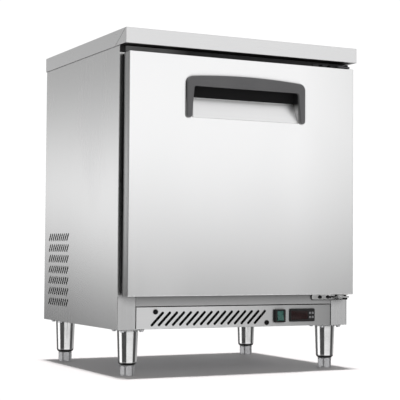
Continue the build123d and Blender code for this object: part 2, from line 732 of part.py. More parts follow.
def make_controller_case():
    face = front_plane(KICK_FACE)
    case = extrude(face * Pos(CONTROLLER_X, CONTROLLER_Z) * RectangleRounded(79, 35, 2.5), CONTROLLER_PROUD)
    case = fillet(case.faces().sort_by(Axis.Y)[0].edges(), 1.0)
    case += front_block(CONTROLLER_X, CONTROLLER_Z, 35.4, 14.4, KICK_FACE - 1, KICK_FACE + 48)
    front = KICK_FACE - CONTROLLER_PROUD
    case -= block(LENS_X[0], LENS_X[1], front - 1, front + 1.2, CONTROLLER_Z - 12, CONTROLLER_Z + 12)
    for x, z in BUTTON_SPOTS.values():
        case -= block(x - 3.2, x + 3.2, front - 1, front + 3.2, z - 3.2, z + 3.2)
    return case


def make_controller_lens():
    front = KICK_FACE - CONTROLLER_PROUD
    x0, x1 = LENS_X
    return block(x0 + 0.1, x1 - 0.1, front - 0.1, front + 1.2, CONTROLLER_Z - 11.9, CONTROLLER_Z + 11.9)


def make_button(x, z):
    front = KICK_FACE - CONTROLLER_PROUD
    cap = block(x - 2.85, x + 2.85, front - 0.9, front + 1.9, z - 2.85, z + 2.85)
    cap = fillet(cap.edges().filter_by(Axis.Y), 1.0)
    return fillet(cap.faces().sort_by(Axis.Y)[0].edges(), 0.5)


# ---------------------------------------------------------------------------
# Storage fittings
# ---------------------------------------------------------------------------
def make_pilasters():
    """Slotted uprights on the side walls that carry the shelf clips."""
    uprights = []
    for y in PILASTER_Y:
        bar = block(CAVITY_HALF - 8, CAVITY_HALF, y - 9, y + 9, CAVITY_FLOOR + 4, CAVITY_TOP - 4)
        bar -= block(CAVITY_HALF - 6.8, CAVITY_HALF + 1, y - 7.8, y + 7.8, CAVITY_FLOOR, CAVITY_TOP)
        for number in range(20):
            z = CAVITY_FLOOR + 35 + 25 * number
            bar -= block(CAVITY_HALF - 10, CAVITY_HALF - 4, y - 4, y + 4, z - 2, z + 2)
        uprights += [bar, mirrored(bar)]
    return group(uprights)


def make_shelf_clips():
    """Hooked clips, two a side under each shelf."""
    clips = []
    for height in SHELF_HEIGHTS:
        seat = height - SHELF_FRAME_RADIUS - 0.3
        for y in PILASTER_Y:
            clip = block(CAVITY_HALF - 20, CAVITY_HALF - 8.1, y - 7, y + 7, seat - 2, seat)
            clip += block(CAVITY_HALF - 9.8, CAVITY_HALF - 8.1, y - 7, y + 7, seat - 14, seat)
            clips += [clip, mirrored(clip)]
    return group(clips)


def make_shelf(height):
    """Wire shelf: a bar frame, cross bars and close front-to-back wires."""
    r = SHELF_FRAME_RADIUS
    wire = 1.5
    depth = SHELF_BACK - SHELF_FRONT
    shelf = rod((-SHELF_HALF, SHELF_FRONT, height), (0, 1, 0), r, depth)
    shelf += rod((SHELF_HALF, SHELF_FRONT, height), (0, 1, 0), r, depth)
    for y in (SHELF_FRONT, SHELF_BACK):
        shelf += rod((-SHELF_HALF, y, height), (1, 0, 0), r, 2 * SHELF_HALF)
        shelf += [Pos(x, y, height) * Sphere(r) for x in (-SHELF_HALF, SHELF_HALF)]
    for y in (SHELF_FRONT + depth / 3, SHELF_FRONT + 2 * depth / 3):
        shelf += rod((-SHELF_HALF, y, height), (1, 0, 0), 2.2, 2 * SHELF_HALF)
    count = 22
    pitch = 2 * SHELF_HALF / (count + 1)
    top = height + r + wire - 1.0
    for number in range(count):
        x = -SHELF_HALF + pitch * (number + 1)
        shelf += rod((x, SHELF_FRONT - r, top), (0, 1, 0), wire, depth + 2 * r)
    return shelf


# ---------------------------------------------------------------------------
# Fans, coils and the cooling circuit
# ---------------------------------------------------------------------------
SHAFT_RADIUS = 4.0


def fan_rotor(radius, depth):
    """Five-blade rotor on +Z, starting at the origin."""
    rotor = Pos(0, 0, depth / 2) * Cylinder(radius * 0.28, depth)
    for number in range(5):
        blade = Pos(radius * 0.6, 0, depth / 2) * Rot(28, 0, 0) * Box(radius * 0.84, radius * 0.62, 1.6)
        rotor += Rot(0, 0, 72 * number) * blade
    rotor &= Pos(0, 0, depth / 2) * Cylinder(radius, depth + 8)
    return rotor


def make_evaporator_fan():
    plane = Plane(origin=(0, CAVITY_BACK - 88, EVAPORATOR_Z), x_dir=(1, 0, 0), z_dir=(0, 1, 0))
    rotor = plane * fan_rotor(64, 14)
    return rotor - rod((0, CAVITY_BACK - 85, EVAPORATOR_Z), (0, 1, 0), SHAFT_RADIUS + 0.06, 14)


def make_evaporator_motor():
    y = CAVITY_BACK - 67
    motor = rod((0, y, EVAPORATOR_Z), (0, 1, 0), 27, 28)
    motor = fillet(motor.edges(), 3)
    motor += rod((0, y + 1, EVAPORATOR_Z), (0, -1, 0), SHAFT_RADIUS, 18)
    motor += block(-188.5, 188.5, y + 27, y + 29, EVAPORATOR_Z - 11, EVAPORATOR_Z + 11)
    return motor


EVAPORATOR_HALF = 190.0
EVAPORATOR_LOW = 586.0


def make_evaporator_cover():
    """Sheet cover with a guarded fan opening; open below for the return air."""
    y0 = CAVITY_BACK - 98
    half = EVAPORATOR_HALF
    high = CAVITY_TOP - 2
    cover = block(-half, half, y0, CAVITY_BACK - 0.5, EVAPORATOR_LOW, high)
    cover = fillet(cover.edges().group_by(Axis.Y)[0], 3)
    cover -= block(-half + 1.2, half - 1.2, y0 + 1.2, CAVITY_BACK + 1, EVAPORATOR_LOW - 5, high - 1.2)
    openings = Sketch()
    for inner in (14, 27, 40, 53):
        openings += Circle(inner + 9) - Circle(inner)
    openings -= [Rot(0, 0, 45 * n) * Rectangle(140, 4) for n in range(4)]
    face = Plane(origin=(0, y0 + 5, EVAPORATOR_Z), x_dir=(1, 0, 0), z_dir=(0, -1, 0))
    return cover - extrude(face * openings, 10)


def finned_coil(width, depth, height, pitch):
    """Block of fins with a tube bend showing at each end, centred on the origin."""
    coil = Box(width, depth, height)
    slot = 1.6
    count = int(width / pitch) - 1
    first = -(count - 1) * pitch / 2
    for side in (-1, 1):
        coil -= [Pos(first + n * pitch, side * depth / 2, 0) * Box(slot, 8, height + 2) for n in range(count)]
    rows = int(height / 36)
    for row in range(rows):
        z = (row - (rows - 1) / 2) * 36
        for side in (-1, 1):
            bend = Pos(side * width / 2, 0, z) * Rot(90, 0, 0) * Torus(8, 3)
            coil += bend & Pos(side * (width / 2 + 10), 0, z) * Box(21, 8, 30)
    return coil


def make_evaporator_coil():
    return Pos(0, CAVITY_BACK - 20, 692) * finned_coil(300, 32, 180, 6.0)


def make_condenser_coil():
    return Pos(-195, CONDENSER_FAN_Y, 228.5) * Rot(0, 0, 90) * finned_coil(150, 40, 208, 5.0)


def make_condenser_shroud():
    x = -174.8
    plate = block(x, x + 1.5, CONDENSER_FAN_Y - 80, CONDENSER_FAN_Y + 80, PAN_TOP + 0.1, 333)
    plate += block(x, x + 30, CONDENSER_FAN_Y - 80, CONDENSER_FAN_Y + 80, PAN_TOP + 0.1, PAN_TOP + 1.6)
    centre = (x, CONDENSER_FAN_Y, CONDENSER_FAN_Z)
    collar = rod(centre, (1, 0, 0), 78, 32) - rod(centre, (1, 0, 0), 76.5, 33)
    return plate - rod((x - 1, CONDENSER_FAN_Y, CONDENSER_FAN_Z), (1, 0, 0), 76.5, 5) + collar


def make_condenser_fan():
    plane = Plane(origin=(-168, CONDENSER_FAN_Y, CONDENSER_FAN_Z), x_dir=(0, 1, 0), z_dir=(1, 0, 0))
    rotor = plane * fan_rotor(72, 14)
    return rotor - rod((-165, CONDENSER_FAN_Y, CONDENSER_FAN_Z), (1, 0, 0), SHAFT_RADIUS + 0.06, 20)


def make_condenser_motor():
    start = (-143, CONDENSER_FAN_Y, CONDENSER_FAN_Z)
    motor = fillet(rod(start, (1, 0, 0), 30, 39).edges(), 4)
    motor += rod((-142, CONDENSER_FAN_Y, CONDENSER_FAN_Z), (-1, 0, 0), SHAFT_RADIUS, 20)
    post = block(-122, -112, CONDENSER_FAN_Y - 14, CONDENSER_FAN_Y + 14, PAN_TOP + 0.1, CONDENSER_FAN_Z - 20)
    foot = block(-130, -104, CONDENSER_FAN_Y - 20, CONDENSER_FAN_Y + 20, PAN_TOP + 0.1, PAN_TOP + 1.7)
    return motor + post + foot


COMPRESSOR_FEET = [(dx, dy) for dx in (-62, 62) for dy in (-62, 62)]
COMPRESSOR_BASE = PAN_TOP + 16.0


def make_compressor():
    """Welded shell on its mounting plate, with pipe stubs and a terminal cover."""
    low = COMPRESSOR_BASE + 2.9
    radius = 68.0
    lower = [(0, low), (40, low), (radius - 6, low + 20), (radius, low + 34)]
    upper = [(radius, low + 112), (radius - 8, low + 142), (40, low + 160), (0, low + 166)]
    section = make_face(Polyline(*lower, *upper, close=True))
    shell = revolve(Plane.XZ * section, Axis.Z)
    shell = fillet(shell.edges().group_by(Axis.Z)[1:-1], 7)
    weld = Pos(0, 0, low + 74) * (Cylinder(radius + 3, 5))
    plate = block(-76, 76, -76, 76, COMPRESSOR_BASE, low + 1)
    plate = fillet(plate.edges().filter_by(Axis.Z), 14)
    for dx, dy in COMPRESSOR_FEET:
        plate -= Pos(dx, dy, low) * Cylinder(5.2, 20)
    terminal = fillet(block(60, 92, -22, 22, low + 45, low + 100).edges(), 3)
    stub_high = rod((-60, 0, 250), (-1, 0, 0), 5, 13)
    stub_low = rod((-50, 33, 220), (-1, 0, 0), 6, 17)
    body = shell + weld + plate + terminal + stub_high + stub_low
    return Pos(COMPRESSOR_X, COMPRESSOR_Y, 0) * body


def make_compressor_mounts():
    mounts = []
    for dx, dy in COMPRESSOR_FEET:
        start = (COMPRESSOR_X + dx, COMPRESSOR_Y + dy, PAN_TOP + 0.1)
        mount = rod(start, (0, 0, 1), 12, COMPRESSOR_BASE - 0.1 - start[2])
        mount += rod(start, (0, 0, 1), 5, COMPRESSOR_BASE + 8 - start[2])
        mounts.append(mount)
    return group(mounts)


def make_filter_drier():
    x, y = 20.0, 250.0
    lower = [(0, 162), (3.5, 162), (3.5, 170), (11, 182)]
    upper = [(11, 250), (3.5, 262), (3.5, 270), (0, 270)]
    section = make_face(Polyline(*lower, *upper, close=True))
    return Pos(x, y, 0) * revolve(Plane.XZ * section, Axis.Z)


def make_pipes():
    """Discharge, liquid, capillary and suction lines."""
    y_coil = CONDENSER_FAN_Y
    discharge_start = [(116.8, 195, 250), (85, 195, 250), (85, 195, 355)]
    discharge_end = [(-195, 195, 355), (-195, 195, 332.7)]
    liquid_start = [(-195, y_coil - 75.2, 139), (-195, 106, 139), (20, 106, 139)]
    liquid_end = [(20, 250, 139), (20, 250, 161.8)]
    capillary_start = [(20, 250, 270.2), (20, 250, 340), (20, 228, 340)]
    capillary_end = [(54, 228, 340), (54, 228, 601.8)]
    suction_route = [(68, 228, 601.8), (68, 228, 220), (122.8, 228, 220)]
    return group([
        pipe(discharge_start + discharge_end, 3, 12),
        pipe(liquid_start + liquid_end, 3, 10),
        pipe(capillary_start + capillary_end, 1.5, 8),
        pipe(suction_route, 4, 20),
    ])


TRAY = (-92.0, 8.0, 125.0, 275.0)


def make_drip_tray():
    """Shallow tray that catches and evaporates the defrost water."""
    x0, x1, y0, y1 = TRAY
    z0 = PAN_TOP + 0.1
    tray = fillet(block(x0, x1, y0, y1, z0, z0 + 24).edges().filter_by(Axis.Z), 10)
    well = fillet(block(x0 + 2, x1 - 2, y0 + 2, y1 - 2, z0 + 2, z0 + 30).edges().filter_by(Axis.Z), 8)
    return tray - well


def make_electrical_box():
    box = block(-50, 70, COMPARTMENT_FRONT + 1, COMPARTMENT_FRONT + 38, 235, 335)
    box = fillet(box.edges(), 3)
    lid_line = block(-60, 80, COMPARTMENT_FRONT + 30, COMPARTMENT_FRONT + 31, 230, 340)
    inside = block(-49, 69, COMPARTMENT_FRONT + 20, COMPARTMENT_FRONT + 37, 236, 334)
    return box - (lid_line - inside)


def make_power_inlet():
    """Recessed three-pin appliance inlet in the rear cover."""
    x, z = INLET_X, INLET_Z
    flange = block(x - 25.5, x + 25.5, CABINET_BACK, CABINET_BACK + 2.4, z - 16, z + 16)
    flange = fillet(flange.edges().filter_by(Axis.Y), 3)
    body = block(x - 24, x + 24, CABINET_BACK - 26, CABINET_BACK + 1, z - 14, z + 14)
    inlet = flange + body
    socket = block(x - 12.2, x + 12.2, CABINET_BACK - 16, CABINET_BACK + 4, z - 8.2, z + 8.2)
    inlet -= fillet(socket.edges().filter_by(Axis.Y), 2.5)
    for dx, dz in ((-7, -1.5), (0, 2.5), (7, -1.5)):
        inlet += block(x + dx - 1, x + dx + 1, CABINET_BACK - 17, CABINET_BACK - 2, z + dz - 2, z + dz + 2)
    return inlet


# ---------------------------------------------------------------------------
# Assembly
# ---------------------------------------------------------------------------
side_panel = make_side_panel()
corner_post = make_corner_post()

keep("worktop", make_worktop())
keep("worktop_core", make_worktop_core())
keep("side_panel_left", mirrored(side_panel))
keep("side_panel_right", side_panel)
keep("back_panel", make_back_panel())
keep("rear_grille", make_rear_grille())
keep("rear_grille_screws", make_rear_screws())
keep("liner", make_liner())
keep("insulation", make_insulation())
keep("front_frame", make_front_frame())
keep("base_pan", make_base_pan())
keep("corner_post_left", mirrored(corner_post))
keep("corner_post_right", corner_post)
keep("base_rail", make_base_rail())
keep("kick_panel", make_kick_panel())
keep("kick_panel_screws", make_kick_screws())

leg_spots = {
    f"{row}_{side}": (sign * LEG_X, y)
    for row, y in zip(("front", "rear"), LEG_Y)
    for side, sign in (("left", -1), ("right", 1))
}
keep("legs", group([make_leg(x, y) for x, y in leg_spots.values()]))
keep("leg_screws", make_leg_screws())
for name, (x, y) in leg_spots.items():
    keep(f"foot_{name}", make_foot(x, y))

keep("hinge_bracket_lower", make_bracket(LOWER_FLANGE, LOWER_ARM))
keep("hinge_bracket_upper", make_bracket(UPPER_FLANGE, UPPER_ARM))
keep("hinge_pins", make_hinge_pins())
keep("hinge_screws", make_hinge_screws())

keep("door_shell", make_door_shell())
keep("door_foam", make_door_foam())
keep("door_liner", make_door_liner())
keep("door_gasket", make_door_gasket())
keep("hinge_bushes", make_hinge_bushes())
keep("handle_trim", make_handle_trim())
keep("handle_scoop", make_handle_scoop())

keep("switch_bezel", make_switch_bezel())
keep("rocker", make_rocker())
keep("controller_case", make_controller_case())
keep("controller_lens", make_controller_lens())
for name, (x, z) in BUTTON_SPOTS.items():
    keep(name, make_button(x, z))

keep("shelf_pilasters", make_pilasters())
keep("shelf_clips", make_shelf_clips())
for name, height in zip(("shelf_lower", "shelf_upper"), SHELF_HEIGHTS):
    keep(name, make_shelf(height))

keep("evaporator_coil", make_evaporator_coil())
keep("evaporator_cover", make_evaporator_cover())
keep("evaporator_fan_motor", make_evaporator_motor())
keep("evaporator_fan", make_evaporator_fan())
keep("compressor", make_compressor())
keep("compressor_mounts", make_compressor_mounts())
keep("condenser_coil", make_condenser_coil())
keep("condenser_shroud", make_condenser_shroud())
keep("condenser_fan_motor", make_condenser_motor())
keep("condenser_fan", make_condenser_fan())
keep("filter_drier", make_filter_drier())
keep("refrigerant_pipes", make_pipes())
keep("drip_tray", make_drip_tray())
keep("electrical_box", make_electrical_box())
keep("power_inlet", make_power_inlet())

for name, shape in PARTS.items():
    export_step(shape, f"parts/{name}.step")
print(len(PARTS), "nodes")
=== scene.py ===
import json
import math

import bmesh
import bpy
from mathutils import Matrix, Vector


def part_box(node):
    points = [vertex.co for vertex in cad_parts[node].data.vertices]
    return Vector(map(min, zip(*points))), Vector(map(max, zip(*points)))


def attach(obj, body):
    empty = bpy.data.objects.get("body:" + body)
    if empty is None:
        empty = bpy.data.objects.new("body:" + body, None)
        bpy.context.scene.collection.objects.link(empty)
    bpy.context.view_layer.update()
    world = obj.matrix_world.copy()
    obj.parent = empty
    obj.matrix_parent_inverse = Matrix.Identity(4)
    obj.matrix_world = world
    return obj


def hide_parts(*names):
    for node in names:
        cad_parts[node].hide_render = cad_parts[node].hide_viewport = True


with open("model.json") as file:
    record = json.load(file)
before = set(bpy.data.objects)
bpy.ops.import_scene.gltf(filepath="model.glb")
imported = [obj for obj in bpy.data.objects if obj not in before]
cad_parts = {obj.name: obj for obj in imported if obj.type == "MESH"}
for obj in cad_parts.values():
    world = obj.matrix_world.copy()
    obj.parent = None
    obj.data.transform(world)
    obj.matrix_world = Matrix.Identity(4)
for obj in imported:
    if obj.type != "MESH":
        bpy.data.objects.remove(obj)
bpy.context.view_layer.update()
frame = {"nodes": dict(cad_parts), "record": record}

# ---------------------------------------------------------------------------
# Camera: low, in front of the left corner, looking very slightly upwards.
# ---------------------------------------------------------------------------
CAMERA_PLACE = Vector((-1.5606, -3.1195, 0.3244))
CAMERA_YAW = 0.4671
CAMERA_PITCH = 0.0414
CAMERA_ROLL = 0.0073
CAMERA_LENS = 109.64


def make_camera():
    data = bpy.data.cameras.new("camera")
    data.sensor_width = 36.0
    data.lens = CAMERA_LENS
    data.clip_end = 100.0
    camera = bpy.data.objects.new("camera", data)
    bpy.context.scene.collection.objects.link(camera)
    level = math.cos(CAMERA_PITCH)
    ahead = Vector((math.sin(CAMERA_YAW) * level, math.cos(CAMERA_YAW) * level, math.sin(CAMERA_PITCH)))
    right = Vector((math.cos(CAMERA_YAW), -math.sin(CAMERA_YAW), 0))
    up = right.cross(ahead)
    roll = Matrix.Rotation(-CAMERA_ROLL, 3, ahead)
    axes = Matrix((roll @ right, roll @ up, -ahead)).transposed()
    camera.matrix_world = Matrix.Translation(CAMERA_PLACE) @ axes.to_4x4()
    bpy.context.scene.camera = camera


# ---------------------------------------------------------------------------
# Light and floor
# ---------------------------------------------------------------------------
# Soft light panels round the horizon, in degrees: centre and half width, measured from -Y
# towards +X, lowest and highest elevation, fade at the edges, and brightness.
PANELS = (
    (26.0, 34.0, -1.2, 50.0, 2.0, 0.64),
    (14.0, 18.0, 2.0, 50.0, 8.0, 0.05),
    (26.0, 34.0, 1.0, 7.0, 3.0, 0.28),
    (5.0, 40.0, -45.0, -7.0, 3.0, 0.95),
    (-112.0, 19.0, -45.0, -2.0, 4.0, 1.2),
    (-160.0, 20.0, -0.5, 5.5, 3.0, 0.90),
    (-160.0, 22.0, -6.0, 30.0, 8.0, 0.12),
    (125.0, 40.0, -14.0, 30.0, 8.0, 0.36),
    (-72.0, 34.0, 4.0, 40.0, 8.0, 0.35),
)
# Brightness of the surroundings by the sine of the height above the horizon.
SKY_SHADES = (
    (-1.0, 0.34),
    (-0.29, 0.38),
    (-0.21, 0.04),
    (-0.03, 0.10),
    (0.06, 0.32),
    (0.25, 0.46),
    (1.0, 0.60),
)
# Share of the surroundings' light that falls on matt surfaces.
MATT_SHARE = 0.6
BACKDROP_BRIGHTNESS = 1.05
SUN_STRENGTH = 4.6
SUN_SPREAD = 3.0
SUN_HEIGHT = 3.0
# The floor is lit paper up to the first radius and plain white from the second one.
FLOOR_LIT_RADIUS = 0.75
FLOOR_PALE_RADIUS = 1.7
FLOOR_REACH = 14.0


class Studio:
    """Node helpers for the surroundings that the metal reflects."""

    def __init__(self, world):
        world.use_nodes = True
        self.tree = world.node_tree
        place = self.tree.nodes.new("ShaderNodeTexCoord")
        split = self.tree.nodes.new("ShaderNodeSeparateXYZ")
        self.tree.links.new(place.outputs["Generated"], split.inputs[0])
        self.direction = split.outputs

    def math(self, operation, first, second=0.0):
        node = self.tree.nodes.new("ShaderNodeMath")
        node.operation = operation
        for socket, value in zip(node.inputs, (first, second)):
            if isinstance(value, (int, float)):
                socket.default_value = value
            else:
                self.tree.links.new(value, socket)
        return node.outputs[0]

    def fade(self, value, start, end, low, high):
        node = self.tree.nodes.new("ShaderNodeMapRange")
        node.interpolation_type = "SMOOTHSTEP"
        for socket, number in zip(node.inputs[1:5], (start, end, low, high)):
            socket.default_value = number
        self.tree.links.new(value, node.inputs["Value"])
        return node.outputs["Result"]

    def panel(self, angle, elevation, centre, half_width, low, high, soft, brightness):
        """Brightness of one soft-edged panel in the direction that is looked in."""
        turned = self.math("SUBTRACT", angle, math.radians(centre))
        away = self.math("ARCCOSINE", self.math("COSINE", turned))
        half, edge = math.radians(half_width), math.radians(soft)
        across = self.fade(away, half - edge, half + edge, brightness, 0.0)
        above = self.fade(elevation, math.radians(low) - edge, math.radians(low) + edge, 0.0, 1.0)
        below = self.fade(elevation, math.radians(high) - edge, math.radians(high) + edge, 1.0, 0.0)
        return self.math("MULTIPLY", across, self.math("MULTIPLY", above, below))

    def sky(self, rise):
        """Brightness of the plain surroundings at a height above the horizon."""
        ramp = self.tree.nodes.new("ShaderNodeValToRGB")
        while len(ramp.color_ramp.elements) < len(SKY_SHADES):
            ramp.color_ramp.elements.new(0.5)
        for element, (position, shade) in zip(ramp.color_ramp.elements, SKY_SHADES):
            element.position = (position + 1) / 2
            element.color = (shade, shade, shade, 1)
        lifted = self.math("MULTIPLY", self.math("ADD", rise, 1.0), 0.5)
        self.tree.links.new(lifted, ramp.inputs["Fac"])
        return ramp.outputs["Color"]


def make_world():
    """Studio surroundings: a graded sky with soft light panels round the horizon."""
    world = bpy.data.worlds.new("studio")
    bpy.context.scene.world = world
    studio = Studio(world)
    x, y, z = studio.direction
    angle = studio.math("ARCTAN2", x, studio.math("MULTIPLY", y, -1.0))
    elevation = studio.math("ARCSINE", z)
    brightness = studio.sky(z)
    for panel in PANELS:
        brightness = studio.math("ADD", brightness, studio.panel(angle, elevation, *panel))
    surroundings = studio.tree.nodes["Background"]
    surroundings.inputs["Color"].default_value = (1, 1, 1, 1)
    path = studio.tree.nodes.new("ShaderNodeLightPath")
    onto_matt = studio.fade(path.outputs["Is Diffuse Ray"], 0.0, 1.0, 1.0, MATT_SHARE)
    studio.tree.links.new(studio.math("MULTIPLY", brightness, onto_matt), surroundings.inputs["Strength"])
    backdrop = studio.tree.nodes.new("ShaderNodeBackground")
    backdrop.inputs["Color"].default_value = (1, 1, 1, 1)
    backdrop.inputs["Strength"].default_value = BACKDROP_BRIGHTNESS
    mix = studio.tree.nodes.new("ShaderNodeMixShader")
    studio.tree.links.new(path.outputs["Is Camera Ray"], mix.inputs["Fac"])
    studio.tree.links.new(surroundings.outputs[0], mix.inputs[1])
    studio.tree.links.new(backdrop.outputs[0], mix.inputs[2])
    studio.tree.links.new(mix.outputs[0], studio.tree.nodes["World Output"].inputs["Surface"])


def make_lights():
    """One far light straight above, which keeps the shadow under the object and isn't mirrored."""
    light = bpy.data.lights.new("overhead", "SUN")
    light.energy = SUN_STRENGTH
    light.angle = math.radians(SUN_SPREAD)
    lamp = bpy.data.objects.new("overhead", light)
    lamp.location = (0.0, 0.0, SUN_HEIGHT)
    lamp.visible_glossy = False
    bpy.context.scene.collection.objects.link(lamp)


def make_floor():
    """Pale sweep: lit paper under the object that runs out into an even white."""
    mesh = bpy.data.meshes.new("floor")
    corners = [(x * FLOOR_REACH, y * FLOOR_REACH, 0) for x, y in ((-1, -1), (1, -1), (1, 1), (-1, 1))]
    mesh.from_pydata(corners, [], [(0, 1, 2, 3)])
    floor = bpy.data.objects.new("floor", mesh)
    bpy.context.scene.collection.objects.link(floor)
    paper = Surface("pale_floor", (0.62, 0.60, 0.60), 0.7)
    paper.tint(paper.spread(paper.noise(1.5), 0.0, 1.0), (0.60, 0.58, 0.58))
    distance = paper.add("ShaderNodeVectorMath", operation="LENGTH")
    paper.join(paper.place, distance.inputs[0])
    far = paper.spread(distance.outputs["Value"], 0.0, 1.0, FLOOR_LIT_RADIUS, FLOOR_PALE_RADIUS)
    glow = paper.add("ShaderNodeEmission")
    glow.inputs["Strength"].default_value = BACKDROP_BRIGHTNESS
    blend = paper.add("ShaderNodeMixShader")
    paper.join(far, blend.inputs["Fac"])
    paper.join(paper.shader.outputs[0], blend.inputs[1])
    paper.join(glow.outputs[0], blend.inputs[2])
    paper.join(blend.outputs[0], paper.tree.nodes["Material Output"].inputs["Surface"])
    mesh.materials.append(paper.material)
    floor.visible_glossy = False


# ---------------------------------------------------------------------------
# Layers that the finishes are built from
# ---------------------------------------------------------------------------
def grey(value):
    return (value, value, value)


class Surface:
    """A principled material with layers of procedural variation over its plain values."""

    def __init__(self, name, colour, roughness, metallic=0.0):
        self.material = bpy.data.materials.new(name)
        self.material.use_nodes = True
        self.tree = self.material.node_tree
        self.shader = self.tree.nodes["Principled BSDF"]
        self.set("Base Color", (*colour, 1))
        self.set("Roughness", roughness)
        self.set("Metallic", metallic)
        self.place = self.add("ShaderNodeTexCoord").outputs["Object"]

    def add(self, kind, **settings):
        node = self.tree.nodes.new(kind)
        for key, value in settings.items():
            setattr(node, key, value)
        return node

    def join(self, source, target):
        self.tree.links.new(source, target)

    def set(self, socket, value):
        self.shader.inputs[socket].default_value = value

    def stretched(self, stretch):
        mapping = self.add("ShaderNodeMapping")
        mapping.inputs["Scale"].default_value = stretch
        self.join(self.place, mapping.inputs["Vector"])
        return mapping.outputs["Vector"]

    def noise(self, scale, stretch=(1, 1, 1), detail=4.0):
        texture = self.add("ShaderNodeTexNoise")
        texture.inputs["Scale"].default_value = scale
        texture.inputs["Detail"].default_value = detail
        self.join(self.stretched(stretch), texture.inputs["Vector"])
        return texture.outputs[0]

    def cells(self, scale, feature="F1"):
        texture = self.add("ShaderNodeTexVoronoi", feature=feature)
        texture.inputs["Scale"].default_value = scale
        self.join(self.place, texture.inputs["Vector"])
        return texture

    def spread(self, value, low, high, start=0.3, end=0.7):
        """Maps the part of a value between start and end onto low to high."""
        node = self.add("ShaderNodeMapRange")
        node.inputs["From Min"].default_value = start
        node.inputs["From Max"].default_value = end
        node.inputs["To Min"].default_value = low
        node.inputs["To Max"].default_value = high
        self.join(value, node.inputs["Value"])
        return node.outputs["Result"]

    def both(self, first, second):
        """Mask that is high only where both masks are."""
        node = self.add("ShaderNodeMath", operation="MULTIPLY")
        self.join(first, node.inputs[0])
        self.join(second, node.inputs[1])
        return node.outputs[0]

    def tint(self, mask, colour):
        """Blends the colour so far towards another one where the mask is high."""
        base = self.shader.inputs["Base Color"]
        mix = self.add("ShaderNodeMix", data_type="RGBA")
        self.join(mask, mix.inputs[0])
        if base.is_linked:
            self.join(base.links[0].from_socket, mix.inputs[6])
        else:
            mix.inputs[6].default_value = base.default_value[:]
        mix.inputs[7].default_value = (*colour, 1)
        self.join(mix.outputs[2], base)

    def roughen(self, mask, roughness):
        """Blends the roughness so far towards another one where the mask is high."""
        rough = self.shader.inputs["Roughness"]
        mix = self.add("ShaderNodeMix", data_type="FLOAT")
        self.join(mask, mix.inputs[0])
        if rough.is_linked:
            self.join(rough.links[0].from_socket, mix.inputs[2])
        else:
            mix.inputs[2].default_value = rough.default_value
        mix.inputs[3].default_value = roughness
        self.join(mix.outputs[0], rough)

    def relief(self, height, depth):
        """Raises the surface by up to depth, in metres, where the height is 1."""
        normal = self.shader.inputs["Normal"]
        bump = self.add("ShaderNodeBump")
        bump.inputs["Distance"].default_value = depth
        self.join(height, bump.inputs["Height"])
        if normal.is_linked:
            self.join(normal.links[0].from_socket, bump.inputs["Normal"])
        self.join(bump.outputs["Normal"], normal)

    def along(self, axis, start, end, low=0.0, high=1.0):
        """Mask that runs from low to high between two places on an axis of the frame, in metres."""
        split = self.add("ShaderNodeSeparateXYZ")
        self.join(self.place, split.inputs[0])
        return self.spread(split.outputs[axis], low, high, start, end)

    def crevices(self, reach):
        """Mask that is 1 where other surfaces close in within the reach."""
        closeness = self.add("ShaderNodeAmbientOcclusion", samples=8)
        closeness.inputs["Distance"].default_value = reach
        return self.spread(closeness.outputs["AO"], 1.0, 0.0, 0.35, 0.85)

    def soft_edges(self, radius):
        """Rounds the shading of hard edges and returns a mask that is 1 on them."""
        bevel = self.add("ShaderNodeBevel", samples=4)
        bevel.inputs["Radius"].default_value = radius
        self.join(bevel.outputs["Normal"], self.shader.inputs["Normal"])
        shape = self.add("ShaderNodeNewGeometry")
        dot = self.add("ShaderNodeVectorMath", operation="DOT_PRODUCT")
        self.join(bevel.outputs["Normal"], dot.inputs[0])
        self.join(shape.outputs["Normal"], dot.inputs[1])
        return self.spread(dot.outputs["Value"], 1.0, 0.0, 0.80, 0.995)


# ---------------------------------------------------------------------------
# Finishes, one function for each kind and one entry for each slot
# ---------------------------------------------------------------------------
# How far the painted shade in corners reaches on sheet, in metres, and on small turned parts.
CREVICE_REACH = 0.05
SMALL_CREVICE_REACH = 0.008
# Stretch of the noise that makes brush lines run along an axis.
ALONG_X = (0.001, 1.0, 1.0)
ALONG_Z = (1.0, 1.0, 0.001)


def brushed_steel(name, shade, roughness, grain, edge_shade=0.95, corner_shade_reach=CREVICE_REACH):
    """Stainless sheet with long brush lines, handling smears, edges tinted to edge_shade (bright wear when
    high, painted shade when low) and painted shade in corners.
    """
    metal = Surface(name, (shade, shade, shade * 1.005), roughness, 1.0)
    edges = metal.soft_edges(0.0012)
    fine = metal.noise(1500.0, grain, 2.0)
    broad = metal.noise(420.0, grain, 3.0)
    smears = metal.noise(3.0, (1, 1, 0.6), 3.0)
    metal.tint(metal.spread(fine, 0.0, 0.5), (shade * 0.95, shade * 0.95, shade * 0.955))
    metal.tint(metal.spread(broad, 0.0, 0.25), grey(shade * 1.02))
    metal.roughen(metal.spread(broad, 0.0, 1.0), roughness * 1.08)
    metal.roughen(metal.spread(smears, 0.0, 0.5, 0.45, 0.75), roughness * 1.3)
    # Edge tint: bright wear with a high edge_shade, painted dark shade lines along the edges with a low
    # one.
    tinted_edges = metal.both(edges, metal.spread(metal.noise(60.0), 0.4, 1.0))
    metal.tint(tinted_edges, grey(edge_shade))
    metal.roughen(tinted_edges, roughness * 0.75)
    # Painted shade: darkens the sheet where other surfaces close in.
    metal.tint(metal.crevices(corner_shade_reach), grey(shade * 0.2))
    metal.relief(fine, 0.0000006)
    metal.relief(broad, 0.0000005)
    return metal


